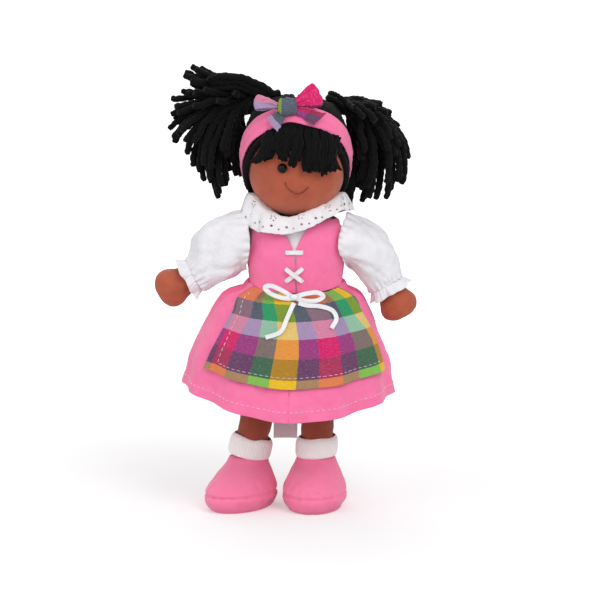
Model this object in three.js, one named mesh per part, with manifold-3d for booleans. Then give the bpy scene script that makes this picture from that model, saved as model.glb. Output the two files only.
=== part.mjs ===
// A soft rag doll in a pinafore dress, standing, as an assembly of its sewn pieces.
// Lengths are in millimetres. +Z is up, the doll looks along -Y and its own left side is +X.
import * as THREE from 'three';
import { mergeVertices } from 'three/addons/utils/BufferGeometryUtils.js';
import Module from 'manifold-3d';

const wasm = await Module();
wasm.setup();

// Gaps and overruns
const seatGap = 0.3; // between two pieces that touch
const wrapGap = 0.8; // under hair or cloth that wraps a rounded form
const fitGap = 0.5; // between rounded pieces whose faces run side by side
const cutOverrun = 6; // how far every cutting shape runs past what it cuts

// Where the doll's middle plane stands, from the middle of the ground that it covers
const standX = 6.6;
const standY = 0.9;

// Soles, shoes and feet
const soleThickness = 2.6;
const soleHalfWidth = 18;
const soleHalfLength = 27;
const shoeHeight = 29.5;
const shoeHalfWidth = 20.2;
const shoeHalfLength = 29;
const shoeMouthRadius = 13;
const toeForward = 9; // the sole's middle from the ankle
const toeOutRight = 31; // degrees
const toeOutLeft = -7; // degrees

// Legs
const legLength = 57;
const legRadius = 12.4;
const ankleRadius = 11.6;
const legSeamHalfWidth = 12.6;
const legSeamHalfDepth = 6.4;
const hipOutRight = 19;
const hipOutLeft = 15.5;
const ankleOutRight = 32;
const ankleOutLeft = 13.4;
const sockHeight = 13.4;
const sockWall = 1.9;

// Torso
const hipSeatRadius = 18; // the rounded seat that both legs turn around
const torsoHeight = 101;
const seamHalfWidth = 28;
const hipHalfWidth = 32.5;
const bellyHalfWidth = 32;
const bellyHalfDepth = 20.5;
const waistHalfWidth = 28.5;
const waistHalfDepth = 19.2;
const waistDip = 4; // how much lower the waist seam lies in front
const chestHalfWidth = 30.4;
const chestHalfDepth = 20.4;
const shoulderHalfWidth = 29.2;
const shoulderHalfDepth = 18;
const neckSeatHalfWidth = 24;
const neckSeatHalfDepth = 14;

// Neck and head
const neckRadius = 10;
const neckPivotRise = 3;
const neckLength = 1.5;
const headHalfWidth = 32;
const headHalfDepth = 31;
const headHalfHeight = 38;
const eyeRadius = 3.2;
const eyeDome = 2.5;
const eyeApart = 18;
const eyeBelowMiddle = 1.4;
const smileWidth = 16;
const smileBelowMiddle = 14;
const smileDip = 6.2;
const smileThread = 1;

// Hair and headband
const capWall = 2.2;
const capFrontAngle = 140; // degrees from the back of the head
const capSideAngle = 114; // degrees
const capNapeAngle = 56; // degrees
const fringeWall = 2.6;
const fringeHalfWidth = 25;
const fringeMiddle = 4;
const fringeRootRise = 22;
const fringeRootDrop = 7;
const fringeLength = 23.4;
const fringeSides = 28;
const bandWidth = 13.5;
const bandWall = 1;
const bandSides = 32;
const bandTilt = 50; // degrees that the band's crown leans to the front
const tieRadius = 7.6;
const tieThread = 1.6;
const bunchRootRadius = 7;
const bunchPress = 0.7; // how far a tied root presses into the cap
const bunchDepth = 25;
const bunchReachRight = 58;
const bunchReachLeft = 46;
const bunchRiseRight = 26;
const bunchDropRight = 66;
const bunchRiseLeft = 6;
const bunchDropLeft = 70;

// Bow on the headband
const bowKnotOut = -4.6;
const bowKnotWidth = 13;
const bowKnotHeight = 12;
const bowKnotDepth = 8;
const bowLoopLength = 17;
const bowLoopWidth = 15;
const bowLoopPuff = 3.4;
const bowEndLength = 15;
const bowEndWidth = 11;
const bowCloth = 0.8;

// Blouse, collar and sleeves
const blouseWall = 0.8;
const necklineRadius = 12.6;
const armholeRadius = 12;
const armholeInset = 3;
const collarWall = 0.9;
const collarInnerRadius = 13;
const collarHalfWidth = 35;
const collarHalfDepth = 27.5;
const collarSideRise = 17;
const collarFrontDrop = 2.6;
const collarBackDrop = 7;
const collarWave = 1;
const collarSides = 42;
const sleeveWall = 1;
const sleeveHoleRadius = 17;
const sleevePuffRadiusRight = 19.5;
const sleevePuffRadiusLeft = 16;
const sleevePuffHalfDepth = 18;
const cuffRadius = 11.6;
const cuffFrillRadius = 13.6;
const cuffFrillLength = 7;
const cuffFrillWave = 0.7;
const elasticWidth = 3;
const elasticWall = 1.2;

// Arms, each measured from its shoulder
const shoulderBelowTop = 11.5;
const armRadius = 11;
const wristRadius = 8.8;
const handRadius = 13.8;
const handHalfDepth = 10;
const wristReachRight = 36.5;
const wristDropRight = 24.5;
const handReachRight = 25;
const handDropRight = 14;
const wristReachLeft = 29;
const wristDropLeft = 30.5;
const handReachLeft = 13;
const handDropLeft = 23;

// Bodice with its lacing
const bodiceWall = 1.2;
const bodiceOpening = 0.6;
const vNeckDepth = 17.5;
const vNeckHalfWidth = 10;
const vNeckMiddle = -1.2;
const laceWidth = 3;
const laceThickness = 0.7;
const laceSpan = 11.4;
const laceBarBelow = 17.3; // from the torso's top
const laceCrossBelow = 32.5; // from the torso's top
const laceCrossHeight = 9;

// Skirt
const skirtWall = 1.1;
const skirtLength = 81;
const hemSideLift = 14;
const hemTilt = 3; // how much higher the hem hangs on the doll's right
const skirtTopHalfWidth = 44;
const skirtTopHalfDepth = 29;
const skirtMidHalfWidth = 56;
const skirtMidHalfDepth = 42;
const hemHalfWidth = 68;
const hemHalfDepth = 54;
const hemLean = -5.4;
const skirtFold = 1.7;

// Apron, waist ribbon and label
const apronWall = 0.9;
const apronLength = 77;
const apronLift = 1.2; // how far the apron's lining stands off the skirt's folds
const ribbonWidth = 3;
const ribbonThickness = 0.6;
const waistKnotWidth = 5;
const waistKnotHeight = 4.4;
const waistKnotDepth = 3.6;
const waistKnotOut = -1.3;
const waistLoopLength = 17;
const waistLoopPuff = 2.9;
const waistLoopSteps = 20;
const labelWidth = 14;
const labelLength = 48;
const labelThickness = 0.5;
const labelMiddle = -7;

// Heights that follow from the sizes above
const shoeBottom = soleThickness + seatGap;
const shoeTop = shoeBottom + shoeHeight;
const legBottom = shoeTop + seatGap;
const hipHeight = legBottom + legLength + seatGap + hipSeatRadius;
const torsoBottom = hipHeight - hipSeatRadius;
const torsoTop = torsoBottom + torsoHeight;
const neckPivot = torsoTop + neckPivotRise;
const headMiddle = neckPivot + neckLength + headHalfHeight;
const shoulderHeight = torsoTop - shoulderBelowTop;
const waistShare = 0.51; // where the waist seam lies between the hips and the torso's top
const waistHeight = THREE.MathUtils.lerp(hipHeight, torsoTop, waistShare);

const RIGHT = -1;
const LEFT = 1;

// Builds a closed solid from its points and triangles, with the faces turned outwards
function solidFrom(points, faces) {
  let volume = 0;
  for (const [a, b, c] of faces) {
    volume += points[a].dot(new THREE.Vector3().crossVectors(points[b], points[c]));
  }
  const outward = volume > 0 ? faces : faces.map(([a, b, c]) => [a, c, b]);
  const geometry = new THREE.BufferGeometry();
  const positions = points.flatMap((point) => point.toArray());
  geometry.setAttribute('position', new THREE.Float32BufferAttribute(positions, 3));
  geometry.setIndex(outward.flat());
  geometry.computeVertexNormals();
  return geometry;
}

function middleOf(points) {
  const sum = points.reduce((total, point) => total.add(point), new THREE.Vector3());
  return sum.divideScalar(points.length);
}

// Joins rings of equal point counts and closes both ends
function solidOfRings(rings) {
  const count = rings[0].length;
  const points = rings.flat();
  const faces = [];
  for (let row = 0; row + 1 < rings.length; row += 1) {
    for (let i = 0; i < count; i += 1) {
      const a = row * count + i;
      const b = row * count + ((i + 1) % count);
      faces.push([a, b, b + count], [a, b + count, a + count]);
    }
  }
  const first = points.push(middleOf(rings[0])) - 1;
  const last = points.push(middleOf(rings[rings.length - 1])) - 1;
  const lastRow = (rings.length - 1) * count;
  for (let i = 0; i < count; i += 1) {
    const next = (i + 1) % count;
    faces.push([first, next, i], [last, lastRow + i, lastRow + next]);
  }
  return solidFrom(points, faces);
}

// Joins an outer and an inner sheet of the same rows into one wall; a wrapped wall closes on itself
function wallOf(outer, inner, wrapped) {
  const rows = outer.length;
  const count = outer[0].length;
  const size = rows * count;
  const points = [...outer.flat(), ...inner.flat()];
  const faces = [];
  const quad = (a, b, c, d) => faces.push([a, b, c], [a, c, d]);
  const spans = wrapped ? count : count - 1;
  for (let row = 0; row + 1 < rows; row += 1) {
    for (let i = 0; i < spans; i += 1) {
      const a = row * count + i;
      const b = row * count + ((i + 1) % count);
      quad(a, b, b + count, a + count);
      quad(size + b, size + a, size + a + count, size + b + count);
    }
  }
  for (let i = 0; i < spans; i += 1) {
    const next = (i + 1) % count;
    const end = (rows - 1) * count;
    quad(next, i, size + i, size + next);
    quad(end + i, end + next, size + end + next, size + end + i);
  }
  if (!wrapped) {
    for (let row = 0; row + 1 < rows; row += 1) {
      const a = row * count;
      const z = a + count - 1;
      quad(a, a + count, size + a + count, size + a);
      quad(z + count, z, size + z, size + z + count);
    }
  }
  return solidFrom(points, faces);
}

// Samples surface(u, v) as rows; a wrapped row leaves out its last point, which is its first
function sampled(surface, across, down, wrapped) {
  const count = wrapped ? across : across + 1;
  return Array.from({ length: down + 1 }, (_, row) =>
    Array.from({ length: count }, (_, i) => surface(i / across, row / down)));
}

// The same surface moved along its own normal
function lifted(surface, distance) {
  const step = 1e-3;
  return (u, v) => {
    const vLow = Math.max(v - step, 0);
    const vHigh = Math.min(v + step, 1);
    const along = surface(u + step, v).sub(surface(u - step, v));
    const down = surface(u, vHigh).sub(surface(u, vLow));
    return surface(u, v).addScaledVector(down.cross(along).normalize(), distance);
  };
}

// A cloth wall whose inner face is surface(u, v)
function clothOf(surface, wall, across, down, wrapped) {
  const inner = sampled(surface, across, down, wrapped);
  const outer = sampled(lifted(surface, wall), across, down, wrapped);
  return wallOf(outer, inner, wrapped);
}

function toManifold(geometry) {
  const bare = new THREE.BufferGeometry();
  bare.setAttribute('position', geometry.getAttribute('position').clone());
  if (geometry.index) bare.setIndex(geometry.index.clone());
  const merged = mergeVertices(bare);
  return new wasm.Manifold(new wasm.Mesh({
    numProp: 3,
    vertProperties: new Float32Array(merged.getAttribute('position').array),
    triVerts: new Uint32Array(merged.index.array),
  }));
}

function fromManifold(solid) {
  const mesh = solid.getMesh();
  const geometry = new THREE.BufferGeometry();
  geometry.setAttribute('position', new THREE.BufferAttribute(mesh.vertProperties, 3));
  geometry.setIndex(new THREE.BufferAttribute(mesh.triVerts, 1));
  geometry.computeVertexNormals();
  return geometry;
}

function cut(geometry, ...tools) {
  return fromManifold(tools.reduce(
    (solid, tool) => solid.subtract(toManifold(tool)), toManifold(geometry)));
}

function joined(geometry, other) {
  return fromManifold(toManifold(geometry).add(toManifold(other)));
}

// A smooth curve through rows of [half width, half depth, height]
function profileOf(rows) {
  return new THREE.CatmullRomCurve3(rows.map((row) => new THREE.Vector3(...row)));
}

// A point on a rounded oblong; the angle starts at the front and turns to the doll's left
const torsoSquareness = 2.4;
function onOblong(angle, halfWidth, halfDepth, height, squareness = 2) {
  const bulge = (value) => Math.sign(value) * Math.abs(value) ** (2 / squareness);
  return new THREE.Vector3(
    halfWidth * bulge(Math.sin(angle)), -halfDepth * bulge(Math.cos(angle)), height);
}

const turn = 2 * Math.PI;
const doll = new THREE.Group();
doll.position.set(standX, standY, 0);

function piece(name, geometry, colour, roughness = 0.9) {
  const material = new THREE.MeshStandardMaterial({ color: colour, roughness, metalness: 0 });
  const mesh = new THREE.Mesh(geometry, material);
  mesh.name = name;
  doll.add(mesh);
  return mesh;
}

const colours = {
  pink: 0xf9709f,
  skin: 0xb95b40,
  skinShade: 0x8f4032,
  yarn: 0x0b0b0c,
  white: 0xf2f1f3,
  check: 0xc8408a,
  bead: 0x050505,
  thread: 0x6d2218,
};

// Torso: a stuffed body, round at its seat, drawn in at the waist
const torsoSides = 32;
const torsoProfile = profileOf([
  [hipHalfWidth, hipSeatRadius, hipHeight],
  [bellyHalfWidth, bellyHalfDepth, THREE.MathUtils.lerp(hipHeight, waistHeight, 0.5)],
  [waistHalfWidth, waistHalfDepth, waistHeight],
  [chestHalfWidth, chestHalfDepth, THREE.MathUtils.lerp(waistHeight, torsoTop, 0.6)],
  [shoulderHalfWidth, shoulderHalfDepth, THREE.MathUtils.lerp(waistHeight, torsoTop, 0.9)],
  [neckSeatHalfWidth, neckSeatHalfDepth, torsoTop],
]);
const waistOnProfile = 0.4; // the waist is the third of the profile's six points

// How far a place around the doll looks to the front, from 0 at the sides to 1
function frontShare(angle) {
  return Math.max(Math.cos(angle), 0) ** 2;
}

// The torso's skin from the waist (0) to the neck seat (1), stood off by some distance
function aroundTorso(u, v, offset) {
  const dip = waistDip * frontShare(u * turn) / (waistHeight - hipHeight);
  const start = waistOnProfile * (1 - dip);
  const at = torsoProfile.getPoint(THREE.MathUtils.lerp(start, 1, v));
  const lift = THREE.MathUtils.smoothstep(v, 0.6, 1) * offset;
  return onOblong(u * turn, at.x + offset, at.y + offset, at.z + lift, torsoSquareness);
}

function torso() {
  const seatRings = 3;
  const belowWaist = 3;
  const aboveWaist = 6;
  const ring = (halfWidth, halfDepth, height) => Array.from({ length: torsoSides }, (_, i) =>
    onOblong((i / torsoSides) * turn, halfWidth, halfDepth, height, torsoSquareness));
  const rings = [];
  for (let i = 1; i <= seatRings; i += 1) {
    const angle = (i / (seatRings + 1)) * (turn / 4);
    const halfWidth = THREE.MathUtils.lerp(seamHalfWidth, hipHalfWidth, Math.sin(angle));
    rings.push(ring(halfWidth, hipSeatRadius * Math.sin(angle),
      hipHeight - hipSeatRadius * Math.cos(angle)));
  }
  for (let i = 0; i < belowWaist; i += 1) {
    const at = torsoProfile.getPoint(waistOnProfile * (i / belowWaist));
    rings.push(ring(at.x, at.y, at.z));
  }
  for (let i = 0; i <= aboveWaist; i += 1) {
    const at = torsoProfile.getPoint(THREE.MathUtils.lerp(waistOnProfile, 1, i / aboveWaist));
    rings.push(ring(at.x, at.y, at.z));
  }
  const neckSeat = new THREE.SphereGeometry(neckRadius + seatGap, 24, 16);
  neckSeat.translate(0, 0, neckPivot);
  return cut(solidOfRings(rings), neckSeat);
}

// A rod along X through a shoulder, from an armhole outwards
function armholeTool(side) {
  const inner = chestHalfWidth - armholeInset;
  const rod = new THREE.CylinderGeometry(armholeRadius, armholeRadius,
    armholeInset + cutOverrun, 24);
  rod.rotateZ(turn / 4);
  rod.translate(side * (inner + (armholeInset + cutOverrun) / 2), 0, shoulderHeight);
  return rod;
}

const blouseTopShare = 6 / 7; // the last seventh turns in over the torso's top
function blouseBody() {
  const cover = (offset) => (u, v) => {
    const upper = v / blouseTopShare;
    if (upper <= 1) return aroundTorso(u, upper, offset);
    const edge = aroundTorso(u, 1, offset);
    const neckline = onOblong(u * turn, necklineRadius, necklineRadius, edge.z);
    return edge.lerp(neckline, (v - blouseTopShare) / (1 - blouseTopShare));
  };
  const outer = sampled(cover(seatGap + blouseWall), torsoSides, 7, true);
  const inner = sampled(cover(seatGap), torsoSides, 7, true);
  return cut(wallOf(outer, inner, true), armholeTool(LEFT), armholeTool(RIGHT));
}

// Bodice: two fronts with a V neck and a back, over the blouse
const bodiceInner = seatGap + blouseWall + seatGap;
const bodiceOuter = bodiceInner + bodiceWall;

function bodicePanel(from, to, across) {
  const cover = (offset) => (u, v) => aroundTorso(THREE.MathUtils.lerp(from, to, u), v, offset);
  return wallOf(sampled(cover(bodiceOuter), across, 6, false),
    sampled(cover(bodiceInner), across, 6, false), false);
}

function vNeckTool() {
  const shape = new THREE.Shape();
  shape.moveTo(vNeckMiddle, torsoTop - vNeckDepth);
  const widening = (vNeckDepth + cutOverrun) / vNeckDepth;
  shape.lineTo(vNeckMiddle + vNeckHalfWidth * widening, torsoTop + cutOverrun);
  shape.lineTo(vNeckMiddle - vNeckHalfWidth * widening, torsoTop + cutOverrun);
  const depth = chestHalfDepth + bodiceOuter + cutOverrun;
  const tool = new THREE.ExtrudeGeometry(shape, { depth, bevelEnabled: false });
  tool.rotateX(turn / 4);
  return tool;
}

function bodiceFront(side) {
  const centre = Math.asin(bodiceOpening / 2 / (chestHalfDepth + bodiceInner)) / turn;
  const seam = seatGap / chestHalfWidth / turn;
  const panel = bodicePanel(side * (centre + seam), side * (0.25 - seam), 8);
  return cut(panel, armholeTool(side), vNeckTool());
}

function bodiceBack() {
  const seam = seatGap / chestHalfWidth / turn;
  return cut(bodicePanel(0.25 + seam, 0.75 - seam, 16), armholeTool(LEFT), armholeTool(RIGHT));
}

// A flat strip along a route, its wide side facing across the route and the given direction
function ribbonAlong(route, facing, width, thickness, steps) {
  const curve = new THREE.CatmullRomCurve3(route);
  const rings = [];
  for (let i = 0; i <= steps; i += 1) {
    const at = curve.getPoint(i / steps);
    const ahead = curve.getTangent(i / steps);
    const side = new THREE.Vector3().crossVectors(ahead, facing).normalize();
    const out = new THREE.Vector3().crossVectors(side, ahead).normalize();
    const corner = thickness / 4;
    const outline = [
      [width / 2, -corner], [width / 2, corner],
      [width / 2 - corner, thickness / 2], [corner - width / 2, thickness / 2],
      [-width / 2, corner], [-width / 2, -corner],
      [corner - width / 2, -thickness / 2], [width / 2 - corner, -thickness / 2],
    ];
    rings.push(outline.map(([across, through]) =>
      at.clone().addScaledVector(side, across).addScaledVector(out, through)));
  }
  return solidOfRings(rings);
}

const forward = new THREE.Vector3(0, -1, 0);

// A point in front of the bodice, by its place across and its depth below the torso's top
function beforeBodice(across, below, offset) {
  const height = torsoTop - below;
  let low = 0;
  let high = 1;
  for (let i = 0; i < 30; i += 1) {
    const middle = (low + high) / 2;
    if (aroundTorso(0, middle, 0).z < height) low = middle;
    else high = middle;
  }
  return new THREE.Vector3(across, aroundTorso(0, low, bodiceOuter + offset).y, height);
}

function laceStrip(fromAcross, fromBelow, toAcross, toBelow, layer) {
  const off = seatGap + laceThickness / 2 + layer * (laceThickness + seatGap);
  const from = beforeBodice(vNeckMiddle + fromAcross, fromBelow, off);
  const to = beforeBodice(vNeckMiddle + toAcross, toBelow, off);
  const middle = from.clone().lerp(to, 0.5);
  return ribbonAlong([from, middle, to], forward, laceWidth, laceThickness, 4);
}

// Skirt: gathered into the waist seam, flared, with soft folds
const skirtProfile = profileOf([
  [waistHalfWidth + bodiceOuter, waistHalfDepth + bodiceOuter, 0],
  [skirtTopHalfWidth, skirtTopHalfDepth, 0.07 * skirtLength],
  [THREE.MathUtils.lerp(skirtTopHalfWidth, skirtMidHalfWidth, 0.6),
    THREE.MathUtils.lerp(skirtTopHalfDepth, skirtMidHalfDepth, 0.55), 0.22 * skirtLength],
  [skirtMidHalfWidth, skirtMidHalfDepth, 0.38 * skirtLength],
  [THREE.MathUtils.lerp(skirtMidHalfWidth, hemHalfWidth, 0.62),
    THREE.MathUtils.lerp(skirtMidHalfDepth, hemHalfDepth, 0.6), 0.66 * skirtLength],
  [hemHalfWidth, hemHalfDepth, skirtLength],
]);
const skirtFall = skirtProfile.getLength();
const skirtSides = 48;
const skirtFolds = 12;

const skirtTop = waistHeight - seatGap - skirtWall - apronLift - apronWall;

// The inner face of the skirt; v runs from the waist to the hem
function skirtInner(u, v) {
  const angle = u * turn;
  const at = skirtProfile.getPointAt(v);
  const sideways = Math.sin(angle);
  const shorter = 1 - (hemSideLift * sideways ** 2 - hemTilt * sideways) / skirtLength;
  const fold = skirtFold * v * (Math.cos(skirtFolds * angle + 0.6) + 0.5 * Math.cos(5 * angle));
  const point = onOblong(angle, at.x + fold, at.y + fold, skirtTop - at.z * shorter);
  point.x += hemLean * Math.sqrt(v);
  point.z -= waistDip * frontShare(angle) * (1 - v);
  return point;
}

// The skirt's own seam lies at the back
function skirt() {
  const fromSeam = (u, v) => skirtInner(u + 0.5, v);
  return clothOf(fromSeam, skirtWall, skirtSides, 7, true);
}

// Apron: hangs from the waist seam over the front of the skirt
const apronRightShares = [-0.17, -0.137, -0.15, -0.158];
const apronLeftShares = [0.17, 0.168, 0.183, 0.182];
function edgeShare(shares, v) {
  const place = v * (shares.length - 1);
  const index = Math.min(Math.floor(place), shares.length - 2);
  return THREE.MathUtils.lerp(shares[index], shares[index + 1], place - index);
}

function apronInner(u, v) {
  const around = THREE.MathUtils.lerp(
    edgeShare(apronRightShares, v), edgeShare(apronLeftShares, v), u);
  return lifted(skirtInner, skirtWall + apronLift)(around, v * (apronLength / skirtFall));
}

function apron() {
  return clothOf(apronInner, apronWall, 22, 6, false);
}

// Waist bow: a knot on the waist seam, two loops and two tails that hang on the apron
const waistKnotDown = 0.1; // how far down the skirt the knot sits, as a share
const waistKnotAt = (() => {
  const off = skirtWall + apronLift + apronWall + fitGap + waistKnotDepth / 2;
  const at = lifted(skirtInner, off)(0, waistKnotDown);
  return at.setX(waistKnotOut);
})();

function ballOf(width, depth, height, at) {
  const ball = new THREE.SphereGeometry(1, 12, 8);
  ball.scale(width / 2, depth / 2, height / 2);
  ball.translate(at.x, at.y, at.z);
  return ball;
}

function waistLoop(side, rise) {
  const start = waistKnotWidth / 2 + seatGap;
  const spots = [[0, -0.25], [0.35, -0.85], [0.8, -0.9], [1, -0.1], [0.8, 0.75], [0.35, 0.7],
    [0, 0.25]];
  const layer = ribbonThickness + seatGap; // the two ends lie on each other at the knot
  const route = spots.map(([out, up], index) => new THREE.Vector3(
    waistKnotAt.x + side * (start + out * waistLoopLength),
    waistKnotAt.y + layer * (index / (spots.length - 1) - 0.5),
    waistKnotAt.z + up * waistLoopPuff + rise * out * waistLoopLength));
  return ribbonAlong(route, forward, ribbonWidth, ribbonThickness, waistLoopSteps);
}

// A tail's route, by its places around the skirt (share of a turn) and down the apron
function waistTail(places) {
  const offset = skirtWall + apronLift + apronWall + wrapGap + ribbonThickness;
  const route = places.map(([around, down]) => lifted(skirtInner, offset)(
    around, down * (apronLength / skirtFall)));
  return ribbonAlong(route, forward, ribbonWidth, ribbonThickness, 12);
}

const tailRightShares = [[0.002, 0.19], [-0.002, 0.24], [-0.01, 0.36], [-0.018, 0.48],
  [-0.046, 0.55]];
const tailLeftShares = [[0.012, 0.19], [0.032, 0.22], [0.062, 0.24], [0.087, 0.3], [0.092, 0.38],
  [0.078, 0.47]];

// Care label: a blank tape that hangs behind the legs from the torso's seat
function careLabel() {
  const behind = hipSeatRadius * 0.72;
  const top = hipHeight - Math.sqrt(hipSeatRadius ** 2 - behind ** 2) - seatGap;
  const label = new THREE.BoxGeometry(labelWidth, labelThickness, labelLength);
  label.translate(labelMiddle, behind + labelThickness, top - labelLength / 2);
  return label;
}

// Collar: a gathered frill that stands at the sides and lies down at the front
function collar() {
  const top = torsoTop + seatGap + blouseWall + fitGap;
  const surface = (u, v) => {
    const angle = u * turn;
    const wave = collarWave * v * Math.sin(14 * angle);
    const point = onOblong(angle,
      THREE.MathUtils.lerp(collarInnerRadius, collarHalfWidth, v) + wave,
      THREE.MathUtils.lerp(collarInnerRadius, collarHalfDepth, v) + wave, top);
    const rise = collarSideRise * Math.abs(Math.sin(angle)) ** 4;
    const drop = Math.cos(angle) > 0 ? collarFrontDrop : collarBackDrop;
    const fall = drop * Math.abs(Math.cos(angle)) ** 2;
    const ridge = neckSeatHalfDepth / collarHalfDepth;
    const beyond = Math.max(v - ridge, 0) / (1 - ridge);
    point.z += bodiceOuter * Math.min(v / ridge, 1) + rise * v ** 2 - fall * beyond + wave;
    return point;
  };
  return clothOf(surface, collarWall, collarSides, 3, true);
}

// Neck: a stuffed stub, round where it seats in the torso and hollowed by the head
function neck() {
  const profile = [new THREE.Vector2(0, -neckRadius)];
  const steps = 6;
  for (let i = 1; i <= steps; i += 1) {
    const angle = (i / steps) * (turn / 4);
    profile.push(new THREE.Vector2(neckRadius * Math.sin(angle), -neckRadius * Math.cos(angle)));
  }
  const top = neckLength + cutOverrun / 2;
  profile.push(new THREE.Vector2(neckRadius, top), new THREE.Vector2(0, top));
  const stub = new THREE.LatheGeometry(profile, 16);
  stub.rotateX(turn / 4);
  stub.translate(0, 0, neckPivot);
  return cut(stub, headForm(fitGap, headSides, headRings));
}

// Head: an egg with full cheeks. A point on it, from the head's middle along a direction
const headFullness = 2.5;
const headSides = 24;
const headRings = 14;
function onHead(direction, offset) {
  const { x, y, z } = direction;
  const flat = ((x / (headHalfWidth + offset)) ** 2 + (y / (headHalfDepth + offset)) ** 2)
    ** (headFullness / 2);
  const reach = (flat + Math.abs(z / (headHalfHeight + offset)) ** headFullness)
    ** (-1 / headFullness);
  return new THREE.Vector3(x, y, z).multiplyScalar(reach).add(
    new THREE.Vector3(0, 0, headMiddle));
}

// The same point, moved out along the surface's own normal
function offHead(direction, offset, distance) {
  const at = onHead(direction, offset);
  const [halfWidth, halfDepth, halfHeight] = [headHalfWidth, headHalfDepth, headHalfHeight]
    .map((half) => half + offset);
  const up = (at.z - headMiddle) / halfHeight;
  const level = Math.hypot(at.x / halfWidth, at.y / halfDepth) ** (headFullness - 2);
  const out = new THREE.Vector3(level * at.x / halfWidth ** 2, level * at.y / halfDepth ** 2,
    Math.sign(up) * Math.abs(up) ** (headFullness - 1) / halfHeight);
  return at.addScaledVector(out.normalize(), distance);
}

// A direction by its angle from the back of the head and its turn around that axis
function fromBack(polar, around) {
  return new THREE.Vector3(Math.sin(polar) * Math.cos(around), Math.cos(polar),
    Math.sin(polar) * Math.sin(around));
}

function headForm(offset, around, rings) {
  const rows = Array.from({ length: rings - 1 }, (_, row) =>
    Array.from({ length: around }, (_, i) =>
      onHead(fromBack(((row + 1) / rings) * Math.PI, (i / around) * turn), offset)));
  return solidOfRings(rows);
}

// A point on the head's front by its place across and its height from the head's middle
function onFace(across, up, offset) {
  const lengthwise = (1 - Math.abs(up / (headHalfHeight + offset)) ** headFullness)
    ** (2 / headFullness);
  const depth = Math.sqrt(Math.max(lengthwise - (across / (headHalfWidth + offset)) ** 2, 0));
  return new THREE.Vector3(across, -(headHalfDepth + offset) * depth, headMiddle + up);
}

function faceNormal(across, up) {
  const step = seatGap;
  const sideways = onFace(across + step, up, 0).sub(onFace(across - step, up, 0));
  const upwards = onFace(across, up + step, 0).sub(onFace(across, up - step, 0));
  return sideways.cross(upwards).normalize();
}

function eye(side) {
  const steps = 4;
  const profile = [new THREE.Vector2(0, 0), new THREE.Vector2(eyeRadius, 0)];
  for (let i = 1; i <= steps; i += 1) {
    const angle = (i / steps) * (turn / 4);
    profile.push(new THREE.Vector2(eyeRadius * Math.cos(angle), eyeDome * Math.sin(angle)));
  }
  profile[profile.length - 1].x = 0;
  const dome = new THREE.LatheGeometry(profile, 14);
  const seat = onFace(side * eyeApart / 2, -eyeBelowMiddle, 0);
  const out = faceNormal(side * eyeApart / 2, -eyeBelowMiddle);
  dome.applyQuaternion(new THREE.Quaternion().setFromUnitVectors(new THREE.Vector3(0, 1, 0), out));
  seat.addScaledVector(out, seatGap);
  dome.translate(seat.x, seat.y, seat.z);
  return dome;
}

function smile() {
  const off = seatGap + smileThread / 2;
  const route = [-0.5, -0.25, 0, 0.25, 0.5].map((share) => onFace(share * smileWidth,
    -smileBelowMiddle - smileDip * (1 - (2 * share) ** 2), off));
  return ribbonAlong(route, forward, smileThread, smileThread, 12);
}

// Hair cap: a cloth shell over the crown and back, open at the face
function capEdge(around) {
  const lean = (capFrontAngle - capNapeAngle) / 2;
  const middle = (capFrontAngle + capNapeAngle) / 4 + capSideAngle / 2;
  const waist = capSideAngle - middle;
  return THREE.MathUtils.degToRad(middle + lean * Math.sin(around) + waist * Math.cos(2 * around));
}

function hairCap() {
  const around = headSides;
  const steps = 9;
  const ring = (share, offset) => Array.from({ length: around }, (_, i) => {
    const angle = (i / around) * turn;
    return onHead(fromBack(capEdge(angle) * share, angle), offset);
  });
  const shares = Array.from({ length: steps }, (_, i) => (i + 1) / steps);
  const outer = shares.map((share) => ring(share, wrapGap + capWall));
  const inner = shares.map((share) => ring(share, wrapGap));
  return solidOfRings([...outer, ...inner.reverse()]);
}

// Headband: a cloth ring that leans forward over the crown and runs to the nape
const bandInner = wrapGap + capWall + fitGap;
const bandOuter = bandInner + bandWall;
function bandDirection(u, v) {
  const tilt = THREE.MathUtils.degToRad(bandTilt);
  const half = Math.atan(bandWidth / 2 / headHalfHeight);
  const polar = turn / 4 + THREE.MathUtils.lerp(-half, half, v);
  const direction = fromBack(polar, u * turn);
  return direction.applyAxisAngle(new THREE.Vector3(1, 0, 0), turn / 4 - tilt);
}

function headband() {
  const cover = (offset) => (u, v) => onHead(bandDirection(u, v), offset);
  return wallOf(sampled(cover(bandOuter), bandSides, 2, true),
    sampled(cover(bandInner), bandSides, 2, true),
    true);
}

// Fringe: short tufts from the headband's front edge down to the eyes
const tuftShares = [0.55, 0.8, 0.6, 0.85, 0.52, 0.48, 0.86, 0.72, 1, 0.84, 0.6, 1, 0.82, 0.9, 0.5];
function fringe() {
  const cover = (offset) => (u, v) => {
    const across = fringeMiddle + THREE.MathUtils.lerp(-1, 1, u) * fringeHalfWidth;
    const top = fringeRootRise - fringeRootDrop * (across / fringeHalfWidth) ** 2;
    const tip = top - fringeLength * edgeShare(tuftShares, Math.min(Math.max(u, 0), 1));
    return onFace(across, THREE.MathUtils.lerp(top, tip, v), offset);
  };
  const inner = bandInner;
  return wallOf(sampled(cover(inner + fringeWall), fringeSides, 3, false),
    sampled(cover(inner), fringeSides, 3, false), false);
}

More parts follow.
